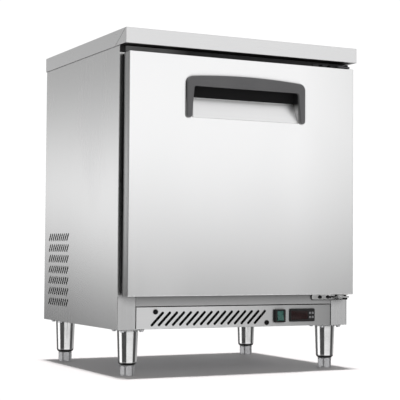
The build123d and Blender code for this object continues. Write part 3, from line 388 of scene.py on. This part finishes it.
def polished_steel(name, shade, roughness):
    """Bright turned steel with faint rings, fingerprints, bright edges and painted shade in its corners.
    """
    metal = Surface(name, grey(shade), roughness, 1.0)
    edges = metal.soft_edges(0.0008)
    rings = metal.noise(700.0, (0.05, 0.05, 1.0), 2.0)
    marks = metal.noise(28.0, detail=5.0)
    metal.tint(metal.spread(marks, 0.0, 0.5, 0.45, 0.7), grey(shade * 0.9))
    metal.roughen(metal.spread(rings, 0.0, 0.6), roughness * 1.6)
    metal.roughen(metal.spread(marks, 0.0, 0.6, 0.5, 0.7), roughness * 2.0)
    metal.tint(edges, grey(0.95))
    # Painted shade in corners and crevices.
    metal.tint(metal.crevices(SMALL_CREVICE_REACH), grey(shade * 0.12))
    metal.relief(rings, 0.00001)
    return metal


def zinc_sheet(name):
    """Galvanised sheet: spangles of slightly different greys, with older patches duller."""
    metal = Surface(name, (0.56, 0.58, 0.60), 0.42, 1.0)
    edges = metal.soft_edges(0.0008)
    spangle = metal.cells(95.0)
    split = metal.add("ShaderNodeSeparateColor")
    metal.join(spangle.outputs["Color"], split.inputs[0])
    flake = split.outputs[0]
    metal.tint(metal.spread(flake, 0.0, 0.8, 0.0, 1.0), (0.70, 0.72, 0.73))
    metal.roughen(metal.spread(flake, 0.0, 1.0, 0.0, 1.0), 0.55)
    dull = metal.noise(7.0, detail=5.0)
    metal.tint(metal.spread(dull, 0.0, 0.5, 0.5, 0.75), (0.46, 0.47, 0.48))
    metal.tint(edges, (0.80, 0.81, 0.82))
    metal.relief(flake, 0.00002)
    return metal


def bright_zinc(name, colour, roughness):
    """Plated fastener or machined part with turning marks and rubbed edges."""
    metal = Surface(name, colour, roughness, 1.0)
    edges = metal.soft_edges(0.0005)
    marks = metal.noise(450.0, (1.0, 1.0, 0.3), 3.0)
    patches = metal.noise(90.0, detail=4.0)
    dark = tuple(part * 0.72 for part in colour)
    light = tuple(min(1.0, part * 1.35) for part in colour)
    metal.tint(metal.spread(patches, 0.0, 0.7, 0.45, 0.75), dark)
    metal.roughen(metal.spread(marks, 0.0, 1.0), roughness * 1.5)
    metal.tint(edges, light)
    metal.relief(marks, 0.00002)
    return metal


def moulded(name, colour, roughness, grain_scale=1400.0, depth=0.00003, specular=0.5):
    """Moulded plastic with an etched grain, slight colour drift and edges rubbed shiny."""
    plastic = Surface(name, colour, roughness)
    plastic.set("Specular IOR Level", specular)
    edges = plastic.soft_edges(0.0009)
    grain = plastic.noise(grain_scale, detail=3.0)
    drift = plastic.noise(9.0, detail=3.0)
    light = tuple(min(1.0, part * 1.25 + 0.01) for part in colour)
    dark = tuple(part * 0.85 for part in colour)
    plastic.tint(plastic.spread(drift, 0.0, 0.6), dark)
    plastic.tint(plastic.spread(grain, 0.0, 0.35), light)
    plastic.roughen(plastic.spread(grain, 0.0, 1.0), min(1.0, roughness * 1.2))
    tinted_edges = plastic.both(edges, plastic.spread(plastic.noise(120.0), 0.2, 1.0))
    plastic.tint(tinted_edges, light)
    plastic.roughen(tinted_edges, roughness * 0.7)
    plastic.relief(grain, depth)
    return plastic


# Where the grip is painted black as shade, before and behind the door's face, and the light band beside
# the scoop.
POCKET_START = 0.004
POCKET_END = 0.002
SCOOP_WALL = 0.022


def dark_grip(name):
    """Grained dark grey grip, painted black and matt inside the finger pocket as shade."""
    grip = Surface(name, (0.105, 0.105, 0.108), 0.40)
    edges = grip.soft_edges(0.0016)
    grain = grip.noise(1500.0, detail=3.0)
    drift = grip.noise(12.0, detail=4.0)
    grip.tint(grip.spread(drift, 0.0, 0.7), (0.085, 0.085, 0.088))
    grip.tint(grip.spread(grain, 0.0, 0.35), (0.14, 0.14, 0.144))
    grip.roughen(grip.spread(grain, 0.0, 1.0), 0.48)
    grip.tint(grip.both(edges, grip.spread(grip.noise(90.0), 0.2, 0.8)), (0.03, 0.03, 0.032))
    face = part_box("door_shell")[0].y
    start, end = face - POCKET_START, face + POCKET_END
    # Painted shade: black, matt and less glossy inside the finger pocket.
    pocket_shade = grip.along("Y", start, end)
    grip.tint(pocket_shade, (0.014, 0.014, 0.0145))
    grip.roughen(pocket_shade, 0.85)
    gloss = grip.along("Y", start, end, 0.5, 0.08)
    grip.join(gloss, grip.shader.inputs["Specular IOR Level"])
    scoop_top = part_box("handle_scoop")[1].z
    beside_scoop = grip.along("Z", scoop_top - SCOOP_WALL, scoop_top, 1.0, 0.0)
    grip.tint(grip.both(pocket_shade, beside_scoop), grey(0.60))
    grip.relief(grain, 0.00004)
    return grip


def rubber(name, shade, roughness):
    """Soft rubber or PVC with dusty bloom in patches and a faint moulding texture."""
    soft = Surface(name, (shade, shade, shade * 1.02), roughness)
    soft.soft_edges(0.0006)
    bloom = soft.noise(16.0, detail=6.0)
    grain = soft.noise(1100.0, detail=2.0)
    soft.tint(soft.spread(bloom, 0.0, 0.7, 0.45, 0.8), (shade * 1.7, shade * 1.7, shade * 1.72))
    soft.roughen(soft.spread(bloom, 0.0, 1.0, 0.4, 0.8), min(1.0, roughness * 1.25))
    soft.relief(grain, 0.00002)
    return soft


def rigid_foam(name):
    """Cut polyurethane foam with open cells and a darker skin."""
    foam = Surface(name, (0.82, 0.72, 0.46), 0.9)
    cells = foam.cells(520.0).outputs["Distance"]
    skin = foam.noise(14.0, detail=5.0)
    foam.tint(foam.spread(cells, 0.6, 0.0, 0.0, 0.5), (0.62, 0.50, 0.28))
    foam.tint(foam.spread(skin, 0.0, 0.6), (0.74, 0.60, 0.34))
    foam.relief(cells, 0.0003)
    return foam


def enamel(name, colour, roughness):
    """Sprayed enamel with orange peel and chipped edges."""
    paint = Surface(name, colour, roughness)
    paint.set("Coat Weight", 0.3)
    paint.set("Coat Roughness", 0.15)
    edges = paint.soft_edges(0.001)
    peel = paint.noise(260.0, detail=2.0)
    dust = paint.noise(11.0, detail=5.0)
    dusty = tuple(part * 1.6 + 0.02 for part in colour)
    paint.tint(paint.spread(dust, 0.0, 0.6, 0.45, 0.8), dusty)
    paint.roughen(paint.spread(dust, 0.0, 1.0, 0.4, 0.8), min(1.0, roughness * 1.6))
    chipped = paint.both(edges, paint.spread(paint.noise(170.0), 0.0, 1.0, 0.5, 0.7))
    paint.tint(chipped, grey(0.25))
    paint.relief(peel, 0.00006)
    return paint


def copper_tube(name):
    """Drawn copper, part bright and part browned by handling and brazing."""
    metal = Surface(name, (0.86, 0.44, 0.28), 0.26, 1.0)
    stain = metal.noise(24.0, detail=6.0)
    draw = metal.noise(300.0, (1.0, 1.0, 0.1), 2.0)
    metal.tint(metal.spread(stain, 0.0, 0.9, 0.45, 0.7), (0.42, 0.20, 0.12))
    metal.roughen(metal.spread(stain, 0.0, 1.0, 0.4, 0.7), 0.5)
    metal.relief(draw, 0.00002)
    return metal


def coil_fins(name):
    """Thin aluminium fins, seen as fine lines, with oxide and dust between them."""
    metal = Surface(name, (0.72, 0.73, 0.75), 0.38, 1.0)
    fins = metal.noise(900.0, (1.0, 1.0, 0.03), 2.0)
    dust = metal.noise(13.0, detail=5.0)
    metal.tint(metal.spread(fins, 0.0, 0.6), (0.48, 0.49, 0.51))
    metal.tint(metal.spread(dust, 0.0, 0.6, 0.5, 0.8), (0.34, 0.33, 0.31))
    metal.roughen(metal.spread(dust, 0.0, 1.0, 0.4, 0.8), 0.7)
    metal.relief(fins, 0.0001)
    return metal


def green_rocker(name):
    """Translucent green switch key, cloudy inside and lighter at its edges."""
    plastic = Surface(name, (0.012, 0.085, 0.068), 0.22)
    edges = plastic.soft_edges(0.0006)
    ribs = plastic.noise(240.0, (0.1, 1.0, 1.0), 2.0)
    cloud = plastic.noise(120.0, detail=3.0)
    plastic.set("Subsurface Weight", 0.15)
    plastic.set("Subsurface Scale", 0.002)
    plastic.tint(plastic.spread(cloud, 0.0, 0.8), (0.03, 0.14, 0.115))
    plastic.tint(edges, (0.10, 0.26, 0.22))
    plastic.roughen(plastic.spread(cloud, 0.0, 1.0), 0.34)
    plastic.relief(ribs, 0.00005)
    return plastic


def smoked_lens(name):
    """Dark red-brown display window with a gloss face and fine wipe marks."""
    lens = Surface(name, (0.010, 0.003, 0.003), 0.10)
    lens.set("Coat Weight", 0.6)
    lens.set("Coat Roughness", 0.04)
    wipes = lens.noise(160.0, (0.1, 1.0, 1.0), 3.0)
    depth = lens.noise(40.0, detail=2.0)
    lens.tint(lens.spread(depth, 0.0, 0.8), (0.022, 0.005, 0.005))
    lens.roughen(lens.spread(wipes, 0.0, 1.0, 0.5, 0.8), 0.22)
    lens.relief(wipes, 0.000008)
    return lens


def wire_chrome(name):
    """Bright plated wire with small water marks."""
    metal = Surface(name, grey(0.80), 0.14, 1.0)
    marks = metal.noise(75.0, detail=5.0)
    metal.tint(metal.spread(marks, 0.0, 0.7, 0.5, 0.7), grey(0.62))
    metal.roughen(metal.spread(marks, 0.0, 1.0, 0.45, 0.7), 0.32)
    metal.relief(marks, 0.00002)
    return metal


def filter_fleece(name):
    """Matt black dust filter with matted fibres and a little grey dust."""
    # Near black: the fleece's own colour, and also painted shade behind the slots.
    fleece = Surface(name, grey(0.008), 0.95)
    fleece.set("Specular IOR Level", 0.1)
    fibres = fleece.noise(800.0, (1.0, 1.0, 0.3), 5.0)
    dust = fleece.noise(25.0, detail=5.0)
    fleece.tint(fleece.spread(fibres, 0.0, 0.6), grey(0.016))
    fleece.tint(fleece.spread(dust, 0.0, 0.4, 0.5, 0.8), (0.03, 0.029, 0.028))
    fleece.relief(fibres, 0.0004)
    return fleece


def make_finishes():
    """One finish for each material slot."""
    return {
        # A low edge_shade paints dark shade lines along the edges of these sheets.
        "stainless": brushed_steel("stainless", 0.74, 0.25, ALONG_Z, edge_shade=0.5),
        "stainless_worktop": brushed_steel("stainless_worktop", 0.70, 0.27, ALONG_X, edge_shade=0.45),
        "stainless_door": brushed_steel("stainless_door", 0.84, 0.20, ALONG_Z),
        "polished_steel": polished_steel("polished_steel", 0.88, 0.10),
        "liner_steel": brushed_steel("liner_steel", 0.76, 0.38, ALONG_X),
        "galvanised": zinc_sheet("galvanised"),
        "foam": rigid_foam("foam"),
        # core_board is near black: painted shade in the gap above the door.
        "core_board": moulded("core_board", (0.012, 0.011, 0.010), 0.6, 300.0, 0.00002, 0.2),
        # dark_zinc, near black, is painted shade on the upper hinge bracket under the worktop's overhang.
        "dark_zinc": bright_zinc("dark_zinc", (0.10, 0.10, 0.105), 0.34),
        "grey_pvc": moulded("grey_pvc", (0.05, 0.05, 0.052), 0.5),
        "dark_grip": dark_grip("dark_grip"),
        "black_plastic": moulded("black_plastic", (0.006, 0.006, 0.0065), 0.4, 1800.0, 0.00001, 0.3),
        "gasket_rubber": rubber("gasket_rubber", 0.12, 0.62),
        "mount_rubber": rubber("mount_rubber", 0.025, 0.7),
        "foot_steel": bright_zinc("foot_steel", (0.50, 0.50, 0.51), 0.28),
        "zinc_screw": bright_zinc("zinc_screw", (0.68, 0.68, 0.70), 0.24),
        "black_screw": bright_zinc("black_screw", (0.018, 0.018, 0.019), 0.42),
        "rocker_green": green_rocker("rocker_green"),
        "button_grey": moulded("button_grey", (0.22, 0.225, 0.235), 0.35, 2200.0, 0.00001),
        "display_lens": smoked_lens("display_lens"),
        "white_nylon": moulded("white_nylon", (0.80, 0.79, 0.75), 0.42),
        "shelf_wire": wire_chrome("shelf_wire"),
        "coil_fins": coil_fins("coil_fins"),
        "fan_plastic": moulded("fan_plastic", (0.035, 0.035, 0.038), 0.38),
        "motor_metal": enamel("motor_metal", (0.24, 0.25, 0.26), 0.42),
        "compressor_black": enamel("compressor_black", (0.012, 0.012, 0.014), 0.34),
        "copper": copper_tube("copper"),
        "tray_plastic": moulded("tray_plastic", (0.14, 0.14, 0.15), 0.5),
    }


def kick_steel():
    """Sheet of the kick panel, with painted shade that darkens it towards the hinge side."""
    metal = brushed_steel("kick_sheet", 0.80, 0.27, ALONG_X)
    # Painted shade towards the hinge side.
    metal.tint(metal.along("X", -0.1, 0.3, 0.0, 0.75), grey(0.20))
    return metal


def door_steel():
    """Sheet of the door, with painted shade: a little darker towards the hinge side and dark on its left
    edge.
    """
    metal = brushed_steel("door_sheet", 0.84, 0.20, ALONG_Z)
    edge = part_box("door_shell")[0].x
    # Painted shade towards the hinge side, and a painted dark band on the left side face.
    metal.tint(metal.along("X", 0.16, 0.34, 0.0, 0.6), grey(0.68))
    metal.tint(metal.along("X", edge + 0.0004, edge + 0.0016, 1.0, 0.0), grey(0.36))
    return metal


def side_steel():
    """Sheet of the side panels, with painted light and shade: darker at the back and the top and lighter
    low at the front.
    """
    metal = brushed_steel("side_sheet", 0.80, 0.25, ALONG_Z, edge_shade=0.5)
    # Painted shade at the back and the top, painted light low at the front.
    metal.tint(metal.along("Y", -0.25, 0.3, 0.0, 0.5), grey(0.56))
    metal.tint(metal.along("Z", 0.5, 0.8, 0.0, 0.8), grey(0.62))
    low = metal.along("Z", 0.12, 0.5, 1.0, 0.0)
    front = metal.along("Y", -0.25, 0.1, 1.0, 0.0)
    metal.tint(metal.both(low, front), grey(0.96))
    return metal


def frame_pvc():
    """Plastic of the front frame, with painted light on the side away from the hinges."""
    plastic = moulded("frame_pvc", (0.06, 0.06, 0.062), 0.5)
    # Painted light on the left end.
    plastic.tint(plastic.along("X", -0.215, -0.15, 1.0, 0.0), (0.34, 0.34, 0.344))
    return plastic


def leg_steel():
    """Polished steel of the legs, with painted shade round the lower rim, where it faces the dark floor.
    """
    metal = polished_steel("leg_steel", 0.88, 0.10)
    low_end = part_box("legs")[0].z
    # Painted shade round the lower rim.
    metal.tint(metal.along("Z", low_end + 0.005, low_end + 0.009, 1.0, 0.0), grey(0.03))
    return metal


def make_node_finishes():
    """Finishes of single nodes that differ from the rest of their slot. Each paints light and shade:
    darker and lighter copies of the steel, and tints along an axis.
    """
    # Posts, base rail and scoop are copies of the steel with shades of their own: painted shade and light.
    post_sheet = brushed_steel("post_sheet", 0.65, 0.25, ALONG_Z, edge_shade=0.5)
    side_sheet = side_steel()
    return {
        "base_rail": brushed_steel("rail_sheet", 0.45, 0.30, ALONG_X),
        "corner_post_left": post_sheet,
        "corner_post_right": post_sheet,
        "door_shell": door_steel(),
        "side_panel_left": side_sheet,
        "side_panel_right": side_sheet,
        "handle_scoop": brushed_steel("scoop_sheet", 0.86, 0.34, ALONG_X, corner_shade_reach=0.003),
        "kick_panel": kick_steel(),
        "front_frame": frame_pvc(),
        "legs": leg_steel(),
    }


def dress_cad_nodes(finishes):
    own = make_node_finishes()
    for entry in frame["record"]["subparts"]:
        mesh = frame["nodes"][entry["node"]].data
        mesh.materials.clear()
        finish = own.get(entry["node"], finishes[entry["material_slot"]])
        mesh.materials.append(finish.material)


# ---------------------------------------------------------------------------
# New pieces, built as meshes
# ---------------------------------------------------------------------------
def new_piece(name, builder, finish, body, smooth=True):
    mesh = bpy.data.meshes.new(name)
    bmesh.ops.recalc_face_normals(builder, faces=builder.faces)
    builder.to_mesh(mesh)
    builder.free()
    for face in mesh.polygons:
        face.use_smooth = smooth
    mesh.materials.append(finish.material)
    piece = bpy.data.objects.new(name, mesh)
    bpy.context.scene.collection.objects.link(piece)
    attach(piece, body)
    return piece


def skin_between(builder, rings):
    """Faces between rings of the same length."""
    for ring, following in zip(rings, rings[1:]):
        for index in range(len(ring)):
            other = (index + 1) % len(ring)
            builder.faces.new((ring[index], ring[other], following[other], following[index]))


SEAL_WIDTH = 0.014
SEAL_CORNER = 0.010
SEAL_CORNER_STEPS = 5
NOSE_HEIGHT = 0.0022
NOSE_STEPS = 8


def gasket_profile(width, depth):
    """Half-round nose, folded bellows and mounting foot, as (across, depth) points."""
    nose = []
    for step in range(NOSE_STEPS + 1):
        angle = math.pi * step / NOSE_STEPS
        across = width / 2 - width * 0.46 * math.cos(angle)
        nose.append((across, depth - NOSE_HEIGHT + NOSE_HEIGHT * math.sin(angle)))
    # The rest is in shares of the width and the depth: bellows, foot, bellows.
    shares = (
        (0.84, 0.28),
        (0.95, 0.42),
        (0.86, 0.58),
        (0.98, 0.12),
        (0.98, 0.0),
        (0.02, 0.0),
        (0.02, 0.12),
        (0.16, 0.28),
        (0.05, 0.42),
        (0.14, 0.58),
    )
    return nose + [(width * across, depth * deep) for across, deep in shares]


def make_gasket(finishes):
    """Magnetic door seal: a bellows profile swept round the door, turning at each corner."""
    low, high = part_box("door_gasket")
    profile = gasket_profile(SEAL_WIDTH, high.y - low.y)
    builder = bmesh.new()
    rings = []
    for corner_x, corner_z, start in (
        (high.x, high.z, 0.0),
        (low.x, high.z, 90.0),
        (low.x, low.z, 180.0),
        (high.x, low.z, 270.0),
    ):
        inward_x = -1 if corner_x > 0 else 1
        inward_z = -1 if corner_z == high.z else 1
        pivot_x = corner_x + inward_x * SEAL_CORNER
        pivot_z = corner_z + inward_z * SEAL_CORNER
        for step in range(SEAL_CORNER_STEPS + 1):
            angle = math.radians(start + 90.0 * step / SEAL_CORNER_STEPS)
            ring = []
            for across, depth in profile:
                radius = SEAL_CORNER - across
                x = pivot_x + radius * math.cos(angle)
                z = pivot_z + radius * math.sin(angle)
                ring.append(builder.verts.new((x, low.y + depth, z)))
            rings.append(ring)
    skin_between(builder, rings + rings[:1])
    seal = new_piece("door_seal", builder, finishes["gasket_rubber"], "door")
    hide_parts("door_gasket")


def lathe(builder, centre, profile, steps=40):
    """Turns (radius, height) points about a vertical line through a point, closed at both ends."""
    rings = []
    for radius, height in profile:
        ring = []
        for step in range(steps):
            angle = 2 * math.pi * step / steps
            place = centre + Vector((radius * math.cos(angle), radius * math.sin(angle), height))
            ring.append(builder.verts.new(place))
        rings.append(ring)
    skin_between(builder, rings)
    builder.faces.new(rings[0][::-1])
    builder.faces.new(rings[-1])


MOUNT_RADIUS = 0.012
MOUNT_TIP = 0.005
MOUNT_TIP_CHAMFER = 0.0015
MOUNT_FOOT = 0.0012
MOUNT_RIBS = 4
RIBS_START = 0.0014
RIBS_END = 0.0156
MOUNT_SHOULDER = 0.0158


def mount_profile(height):
    """Ribbed body with a narrow tip, as (radius, height) points from the foot up."""
    profile = [(MOUNT_RADIUS * 0.80, 0.0), (MOUNT_RADIUS, MOUNT_FOOT)]
    pitch = (RIBS_END - RIBS_START) / MOUNT_RIBS
    for rib in range(MOUNT_RIBS):
        base = RIBS_START + rib * pitch
        profile.append((MOUNT_RADIUS, base + pitch * 0.35))
        profile.append((MOUNT_RADIUS * 0.84, base + pitch * 0.6))
        profile.append((MOUNT_RADIUS, base + pitch))
    profile += [(MOUNT_RADIUS * 0.9, MOUNT_SHOULDER), (MOUNT_TIP, MOUNT_SHOULDER)]
    return profile + [(MOUNT_TIP, height - MOUNT_TIP_CHAMFER), (MOUNT_TIP * 0.7, height)]


def make_compressor_grommets(finishes):
    """Ribbed rubber mounts, one under each corner of the compressor plate."""
    low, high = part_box("compressor_mounts")
    profile = mount_profile(high.z - low.z)
    builder = bmesh.new()
    for x in (low.x + MOUNT_RADIUS, high.x - MOUNT_RADIUS):
        for y in (low.y + MOUNT_RADIUS, high.y - MOUNT_RADIUS):
            lathe(builder, Vector((x, y, low.z)), profile)
    mounts = new_piece("compressor_grommets", builder, finishes["mount_rubber"], "cabinet")
    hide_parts("compressor_mounts")


FILTER_THICKNESS = 0.006
FILTER_PLEAT = 0.009
FRONT_FILTER_WIDTH = 0.338
FRONT_FILTER_INSET = 0.038
SIDE_FILTER_START = 0.098
SIDE_FILTER_LENGTH = 0.184
SIDE_FILTER_LIFT = 0.038
WALL_GAP = 0.003
SCREW_GAP = 0.0008
PAN_GAP = 0.005
KICK_TOP_GAP = 0.001
COVER_TOP_GAP = 0.003


def pleated_pad(builder, corner, along, up, across):
    """Closed zigzag pad: its pleats run up and repeat along, and across is its thickness."""
    count = max(2, round(along.length / FILTER_PLEAT)) * 2
    front, back = [], []
    for step in range(count + 1):
        lean = across * (0.35 if step % 2 else 0.0)
        foot = corner + along * (step / count) + lean
        front.append([builder.verts.new(foot), builder.verts.new(foot + up)])
        foot = foot + across * 0.6
        back.append([builder.verts.new(foot), builder.verts.new(foot + up)])
    for step in range(count):
        for row in (front, back):
            builder.faces.new((row[step][0], row[step + 1][0], row[step + 1][1], row[step][1]))
        for end in (0, 1):
            corners = (front[step][end], front[step + 1][end], back[step + 1][end], back[step][end])
            builder.faces.new(corners)
    for step in (0, count):
        builder.faces.new((front[step][0], front[step][1], back[step][1], back[step][0]))


def make_air_filters():
    """Black pleated dust filters behind the kick panel's slots and both sets of side louvres; their
    near-black fleece also paints the shade behind the slots.
    """
    kick_low, kick_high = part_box("kick_panel")
    behind_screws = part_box("kick_panel_screws")[1].y + SCREW_GAP
    pan_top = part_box("base_pan")[1].z
    cover_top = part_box("rear_grille")[1].z
    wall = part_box("side_panel_right")[1].x - WALL_GAP
    builder = bmesh.new()
    corner = Vector((kick_low.x + FRONT_FILTER_INSET, behind_screws, pan_top + PAN_GAP))
    along = Vector((FRONT_FILTER_WIDTH, 0, 0))
    up = Vector((0, 0, kick_high.z - KICK_TOP_GAP - corner.z))
    pleated_pad(builder, corner, along, up, Vector((0, FILTER_THICKNESS, 0)))
    for side in (-1, 1):
        corner = Vector((side * wall, SIDE_FILTER_START, pan_top + SIDE_FILTER_LIFT))
        along = Vector((0, SIDE_FILTER_LENGTH, 0))
        up = Vector((0, 0, cover_top - COVER_TOP_GAP - corner.z))
        pleated_pad(builder, corner, along, up, Vector((-side * FILTER_THICKNESS, 0, 0)))
    fleece = filter_fleece("filter_fleece")
    new_piece("air_filters", builder, fleece, "cabinet", smooth=False)


def rounded_outline(low_x, high_x, low_z, high_z, radius, steps=6):
    """Points round a rectangle with rounded corners, as (x, z)."""
    points = []
    for pivot_x, pivot_z, start in (
        (high_x - radius, high_z - radius, 0.0),
        (low_x + radius, high_z - radius, 90.0),
        (low_x + radius, low_z + radius, 180.0),
        (high_x - radius, low_z + radius, 270.0),
    ):
        for step in range(steps + 1):
            angle = math.radians(start + 90.0 * step / steps)
            points.append((pivot_x + radius * math.cos(angle), pivot_z + radius * math.sin(angle)))
    return points


def ring_stack(builder, sections):
    """Rings of vertices, one for each (outline, y)."""
    return [[builder.verts.new((x, y, z)) for x, z in outline] for outline, y in sections]


# The shade frame: a black outline that paints the shadow round the lower hinge flange.
SHADE_FRAME_GAP = 0.0002
SHADE_FRAME_BORDER = 0.0016
SHADE_FRAME_THICKNESS = 0.0012
SHADE_FRAME_CORNER = 0.0055


def make_hinge_shade_frame(finishes):
    """Black frame round the lower hinge flange on the rail, which paints the dark shadow outline round the
    flange.
    """
    low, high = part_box("hinge_bracket_lower")
    back = high.y
    front = back - SHADE_FRAME_THICKNESS
    top = high.z + SHADE_FRAME_GAP
    outlines = []
    for grow, radius in (
        (SHADE_FRAME_GAP, SHADE_FRAME_CORNER + SHADE_FRAME_GAP),
        (SHADE_FRAME_GAP + SHADE_FRAME_BORDER, SHADE_FRAME_CORNER + SHADE_FRAME_BORDER),
    ):
        outlines.append(rounded_outline(low.x - grow, high.x + grow, low.z - grow, top, radius))
    inner, outer = outlines
    builder = bmesh.new()
    rings = ring_stack(builder, ((inner, back), (inner, front), (outer, front), (outer, back)))
    skin_between(builder, rings + rings[:1])
    new_piece("hinge_shade_frame", builder, finishes["black_plastic"], "cabinet", smooth=False)


# The corner shade pad: a black block that paints the shade in the corner above the door.
PAD_WIDTH = 0.0145
PAD_THICKNESS = 0.0035
PAD_CORNER = 0.0012
PAD_PANEL_INSET = 0.0006
PAD_DOOR_GAP = 0.0012
PAD_TOP_GAP = 0.0002
PAD_BACK_GAP = 0.0001
# Steps of the rounded front: inset as a share of the corner, depth as a share of the thickness.
PAD_STEPS = ((0.0, 0.0), (0.0, 0.8), (0.15, 0.95), (0.5, 1.0))


def make_corner_shade_pad(finishes):
    """Black pad on the left panel's front hem above the door, which paints the shade in that corner under
    the worktop.
    """
    panel_low, panel_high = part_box("side_panel_left")
    left = panel_low.x + PAD_PANEL_INSET
    right = left + PAD_WIDTH
    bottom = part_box("door_shell")[1].z + PAD_DOOR_GAP
    top = panel_high.z - PAD_TOP_GAP
    back = panel_low.y - PAD_BACK_GAP
    builder = bmesh.new()
    sections = []
    for inset, depth in PAD_STEPS:
        shrink = inset * PAD_CORNER
        outline = rounded_outline(left + shrink, right - shrink, bottom + shrink, top - shrink, PAD_CORNER)
        sections.append((outline, back - depth * PAD_THICKNESS))
    rings = ring_stack(builder, sections)
    skin_between(builder, rings)
    builder.faces.new(rings[0])
    builder.faces.new(rings[-1])
    new_piece("corner_shade_pad", builder, finishes["black_plastic"], "cabinet", smooth=False)


# ---------------------------------------------------------------------------
# Scene
# ---------------------------------------------------------------------------
scene = bpy.context.scene
scene.view_settings.view_transform = "Standard"
scene.view_settings.look = "None"

make_camera()
make_world()
make_lights()
make_floor()
finishes = make_finishes()
dress_cad_nodes(finishes)
make_gasket(finishes)
make_compressor_grommets(finishes)
make_air_filters()
make_hinge_shade_frame(finishes)
make_corner_shade_pad(finishes)
